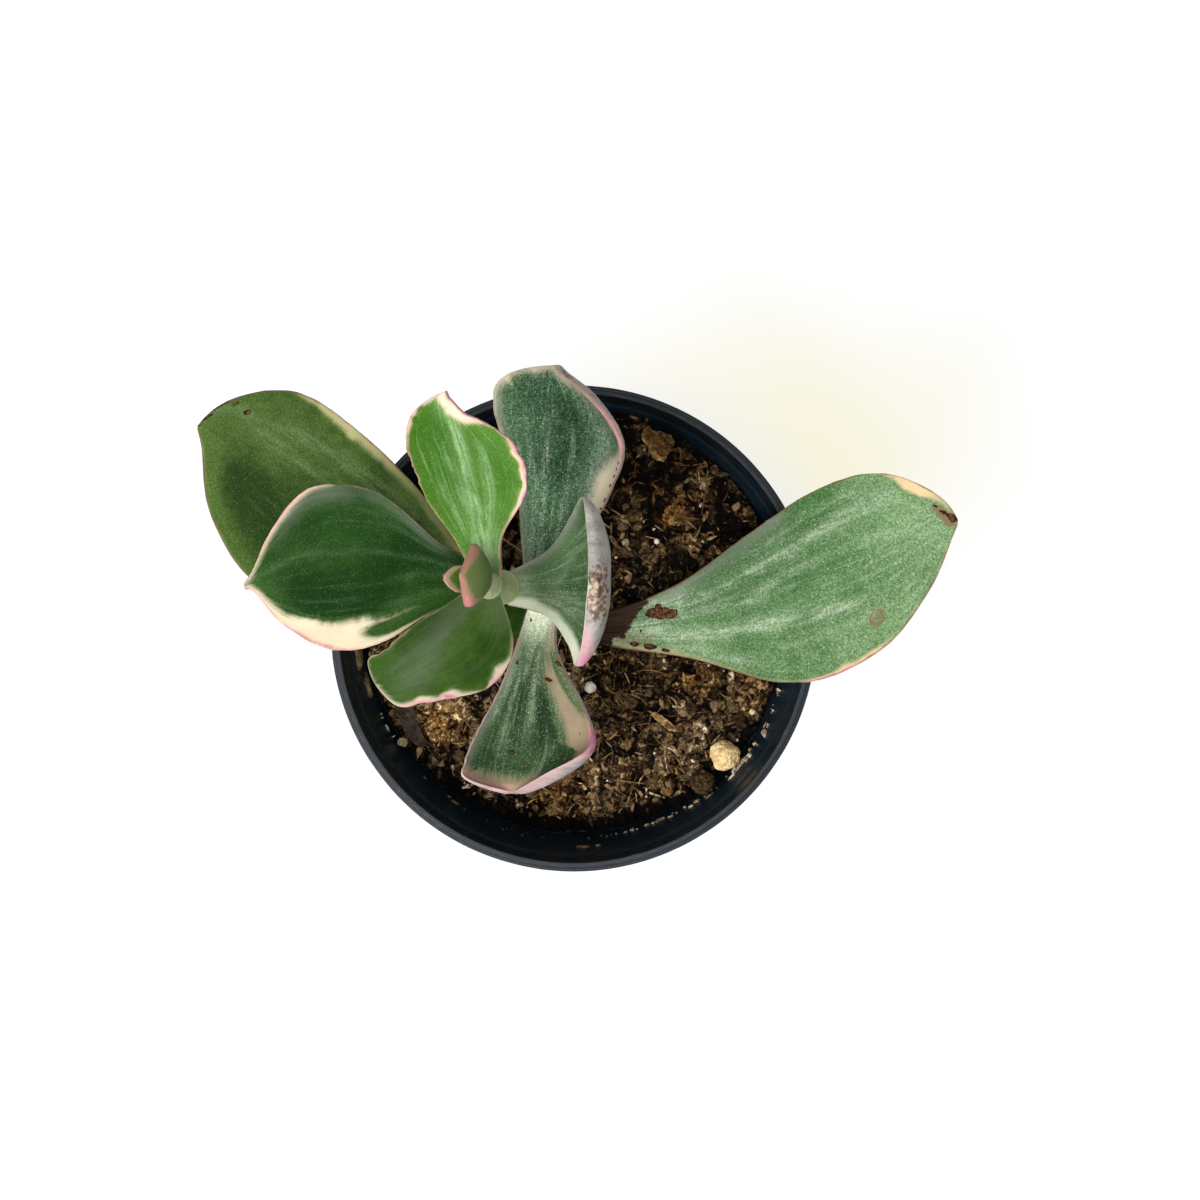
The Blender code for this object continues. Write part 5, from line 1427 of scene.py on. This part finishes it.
def build_chip(name, seed, material, tone, turn, slim, corners, layers=7):
    """Flat splinter of bark with a stepped, ragged edge and blunt corners, turned about the vertical."""
    centre, half = box_of(name)
    rng = np.random.default_rng(seed)
    sides = 64
    around = full_turn(sides)
    outline = points_at(np.cos(around), np.sin(around))
    ragged = 0.8 + 0.16 * np.cos(corners * around) + 0.12 * noise_field(outline, 1.6, seed)
    ragged = ragged + 0.12 * noise_field(outline, 6.0, seed)
    rows = []
    for level in np.linspace(-1.0, 1.0, layers):
        shift = rng.uniform(0.92, 1.0) * (1.0 - 0.25 * abs(level) ** 3)
        ring = outline * (ragged * shift)[:, None]
        ring[:, 2] = level * 0.7 + 0.3 * noise_field(ring * 2.0, 1.5, seed + level)
        rows.append(ring)
    for inset in (0.85, 0.66, 0.48, 0.3, 0.14):
        ring = rows[layers - 1] * (inset, inset, 1.0)  # closes the top
        ring[:, 2] = 0.7 + 0.35 * noise_field(ring * 3.0, 1.4, seed + 0.5)
        rows.append(ring)
    points = np.array(rows)
    spin = np.array(Matrix.Rotation(math.radians(turn), 3, "Z"))
    # painted light: the splinter's tone is raised toward one side and its edge there
    painted_light_side = smoothstep(0.2, 0.8, points[..., 1] / 0.8) * smoothstep(0.3, 0.6, np.hypot(*points.T[:2]).T)
    grain = noise_field(points * (0.6, 4.0, 1.0), 1.5, seed + 2.0)
    points = (points * np.array([1.0, slim, 1.0])) @ spin.T
    points = points / np.abs(points).reshape(-1, 3).max(axis=0)
    crest = smoothstep(0.62, 0.9, np.hypot(*(np.array(rows)[..., :2] / ragged[:, None]).T).T)
    tones = tone + 0.16 * painted_light_side + 0.20 * (crest - 0.6) + 0.2 * grain + 0.2 * noise_field(points, 2.0, seed)
    obj = mesh_object("loose_" + name, centre + points.reshape(-1, 3) * half * 0.98,
                      closed_tube(len(rows), sides), material,
                      dict(tone=tones, warm=0.7 + 0 * tones), smooth=False)
    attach(obj, "root")
    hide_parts(name)


def build_papery_strip():
    """Curled papery flap that leans between the soil and the wall on the left."""
    rows, columns = 90, 26
    f = np.linspace(0.0, 1.0, rows)[:, None]
    g = np.linspace(-1.0, 1.0, columns)[None, :]
    turn = np.radians(188.0 + 30.0 * f) + 0 * g
    ragged = 1.0 + 0.25 * noise_field(points_at(f * 9, 0 * f), 1.0, 3.0)
    half = 1.9 * (0.35 + 0.65 * np.sin(math.pi * f) ** 0.7) * ragged
    radius = STRIP_RADIUS + half * g + 0.5 * np.sin(f * 9.0)
    x, y = radius * np.cos(turn), radius * np.sin(turn)
    curl = 0.5 * np.maximum(0.0, g) ** 2
    z = soil_height(x, y) + 0.85 + curl + 0.35 * noise_field(points_at(x, y), 0.5, 2.0)
    top = points_at(x, y, z)
    low = top - np.array([0.0, 0.0, STRIP_THICKNESS])
    loops = np.concatenate([top, low[:, ::-1]], axis=1)
    obj = mesh_object("papery_bark_flap", loops.reshape(-1, 3), closed_tube(rows, 2 * columns),
                      papery_material())
    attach(obj, "root")
    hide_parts("bark_strip")


def build_residue():
    """Flecks of dried lime and soil that cling to the inner wall just above the soil."""
    rng = np.random.default_rng(5)
    flecks = []
    for middle, spread, rise, count, size, tone in RESIDUE:
        for _ in range(count):
            flecks.append((middle + rng.normal(0.0, spread),
                           rise * abs(rng.normal(1.0, 0.35)) + 0.2,
                           size * math.exp(rng.normal(0.5, 0.55)),
                           size * math.exp(rng.normal(-0.05, 0.5)),
                           tone * rng.uniform(0.75, 1.05)))
    sides = 13
    points, faces, tones = [], [], []
    for turn, above, long, tall, tone in (*flecks, *SMEARS):
        turn = math.radians(turn)
        edge = soil_edge_radius(turn)
        level = min(float(soil_height(edge * math.cos(turn), edge * math.sin(turn))) + above,
                    RESIDUE_TOP)
        first = len(points)
        for depth, shrink in ((0.05, 1.0), (0.2 + 0.9 * min(tall, 0.6), 0.7)):
            for k in range(sides):
                a = 2.0 * math.pi * k / sides
                wobble = 1.0 + 1.5 * noise.noise(Vector((first * 0.7, k * 1.9, 0.0)))
                high = level + math.sin(a) * tall * wobble * shrink
                around = turn + math.cos(a) * long * wobble * shrink / RESIDUE_RADIUS
                radius = wall_inner_radius(high) - depth
                points.append((radius * math.cos(around), radius * math.sin(around), high))
        faces += [tuple(first + v for v in face) for face in closed_tube(2, sides)]
        tones += [tone] * (2 * sides)
    obj = mesh_object("wall_residue", points, faces, earth_material("residue", 0.6, 0.9),
                      dict(tone=tones))
    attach(obj, "root")


# ---- stage -------------------------------------------------------------------------------------------
def build_floor():
    """Plain white floor; its camera colour keeps only a light, warm shadow."""
    points = [(x * FLOOR_REACH, y * FLOOR_REACH, 0.0) for x, y in ((-1, -1), (1, -1), (1, 1), (-1, 1))]
    m = Surface("floor_white")
    m.tree.nodes.remove(m.shader)
    path = m.node("LightPath", {})
    camera, glossy, through = (Value(m, path.outputs[kind]) for kind in (
        "Is Camera Ray", "Is Glossy Ray", "Is Transmission Ray"))
    seen = m.highest(m.highest(camera, glossy), through)
    away = m.out("VectorMath", {0: m.place()}, "Value", operation="LENGTH")
    warm = m.ramp(away, 52.0, 76.0) * m.ramp(away, 260.0, 170.0)
    plain = m.out("BsdfDiffuse", {"Color": (0.85, 0.85, 0.84)})
    far = m.ramp(away, 250.0, 700.0)
    catching = m.mix(warm, (0.28, 0.28, 0.285), (0.188, 0.277, 0.766))
    glowing = m.mix(warm, (0.76, 0.76, 0.75), (0.840, 0.765, 0.349))
    shadow_part = m.out("BsdfDiffuse", {"Color": m.mix(far, catching, (0.0, 0.0, 0.0))})
    glow = m.out("Emission", {"Color": m.mix(far, glowing, (1.0, 1.0, 1.0)), "Strength": 1.0})
    shown = m.out("AddShader", {0: shadow_part, 1: glow})
    blend = m.out("MixShader", {0: seen, 1: plain, 2: shown})
    m.feed(m.tree.nodes["Material Output"].inputs["Surface"], blend)
    floor = mesh_object("floor", points, [(0, 1, 2, 3)], m.material)


def add_lamp(name, toward, distance, size, energy):
    """A soft rectangular lamp that shines on the pot's foot from a direction."""
    lamp = bpy.data.lights.new(name, "AREA")
    lamp.shape = "RECTANGLE"
    lamp.size, lamp.size_y = size
    lamp.energy = energy
    toward = Vector(toward).normalized()
    obj = bpy.data.objects.new(name, lamp)
    obj.location = toward * distance
    obj.rotation_euler = toward.to_track_quat("Z", "Y").to_euler()
    bpy.context.scene.collection.objects.link(obj)


def build_light():
    """A large soft lamp high up in front on the left, a weak one overhead and an even surround."""
    for lamp in LAMPS:
        add_lamp(*lamp)
    world = bpy.data.worlds.new("surround")
    bpy.context.scene.world = world
    world.use_nodes = True
    nodes, links = world.node_tree.nodes, world.node_tree.links
    background = nodes["Background"]
    path = nodes.new("ShaderNodeLightPath")
    strength = nodes.new("ShaderNodeMapRange")
    strength.inputs[3].default_value = SURROUND
    strength.inputs[4].default_value = 1.0
    links.new(path.outputs["Is Camera Ray"], strength.inputs[0])
    links.new(strength.outputs[0], background.inputs["Strength"])
    background.inputs["Color"].default_value = (1.0, 1.0, 1.0, 1.0)


def build_camera():
    """Looks almost straight down, 2.5 degrees off the vertical, from 316 mm above the table."""
    lens = bpy.data.cameras.new("camera")
    lens.lens = CAMERA_LENS
    lens.sensor_width = 36.0
    lens.clip_start = 0.01
    camera = bpy.data.objects.new("camera", lens)
    camera.location = Vector(CAMERA_PLACE) * MM
    camera.rotation_euler = (math.radians(CAMERA_TILT), 0.0, 0.0)
    bpy.context.scene.collection.objects.link(camera)
    bpy.context.scene.camera = camera


def main():
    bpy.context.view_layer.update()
    build_camera()
    build_light()
    build_floor()
    build_pot()
    build_soil()
    peat = earth_material("soil_pieces", 0.7, 1.0)
    build_crumbs(peat)
    build_fibres(earth_material("soil_fibre", 0.55, 0.9))
    build_stem()
    for name in LEAVES:
        build_leaf(name)
    white, cream, stale = (perlite_material(kind) for kind in PERLITE)
    for seed, (name, *look) in enumerate((
            ("perlite_large", cream, 5, 0.06), ("bark_nugget", peat, 5, 0.14, 0.36),
            ("perlite_centre", white, 4, 0.05), ("perlite_right", cream, 3, 0.05),
            ("perlite_wall", stale, 4, 0.25), ("perlite_back", white, 3, 0.05),
            ("grit_back", peat, 3, 0.08, 0.86)), start=1):
        build_grain(name, seed, *look)
    build_chip("bark_chip_back", 21, peat, 0.56, 140.0, 0.7, 3)
    build_clump("bark_clump_right", 22, peat, (0.38, 0.74))
    build_clump("bark_clump_left", 23, peat, (0.45, 0.92))
    build_chip("bark_chip_front", 24, peat, 0.76, -35.0, 0.34, 2)
    build_papery_strip()
    build_residue()
    bpy.context.scene.view_settings.view_transform = "Standard"


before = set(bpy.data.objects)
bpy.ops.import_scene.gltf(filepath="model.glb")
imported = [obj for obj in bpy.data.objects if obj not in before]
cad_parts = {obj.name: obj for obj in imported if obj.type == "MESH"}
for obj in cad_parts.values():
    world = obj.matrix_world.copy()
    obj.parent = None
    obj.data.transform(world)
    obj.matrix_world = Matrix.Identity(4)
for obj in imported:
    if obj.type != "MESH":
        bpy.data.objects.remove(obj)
main()
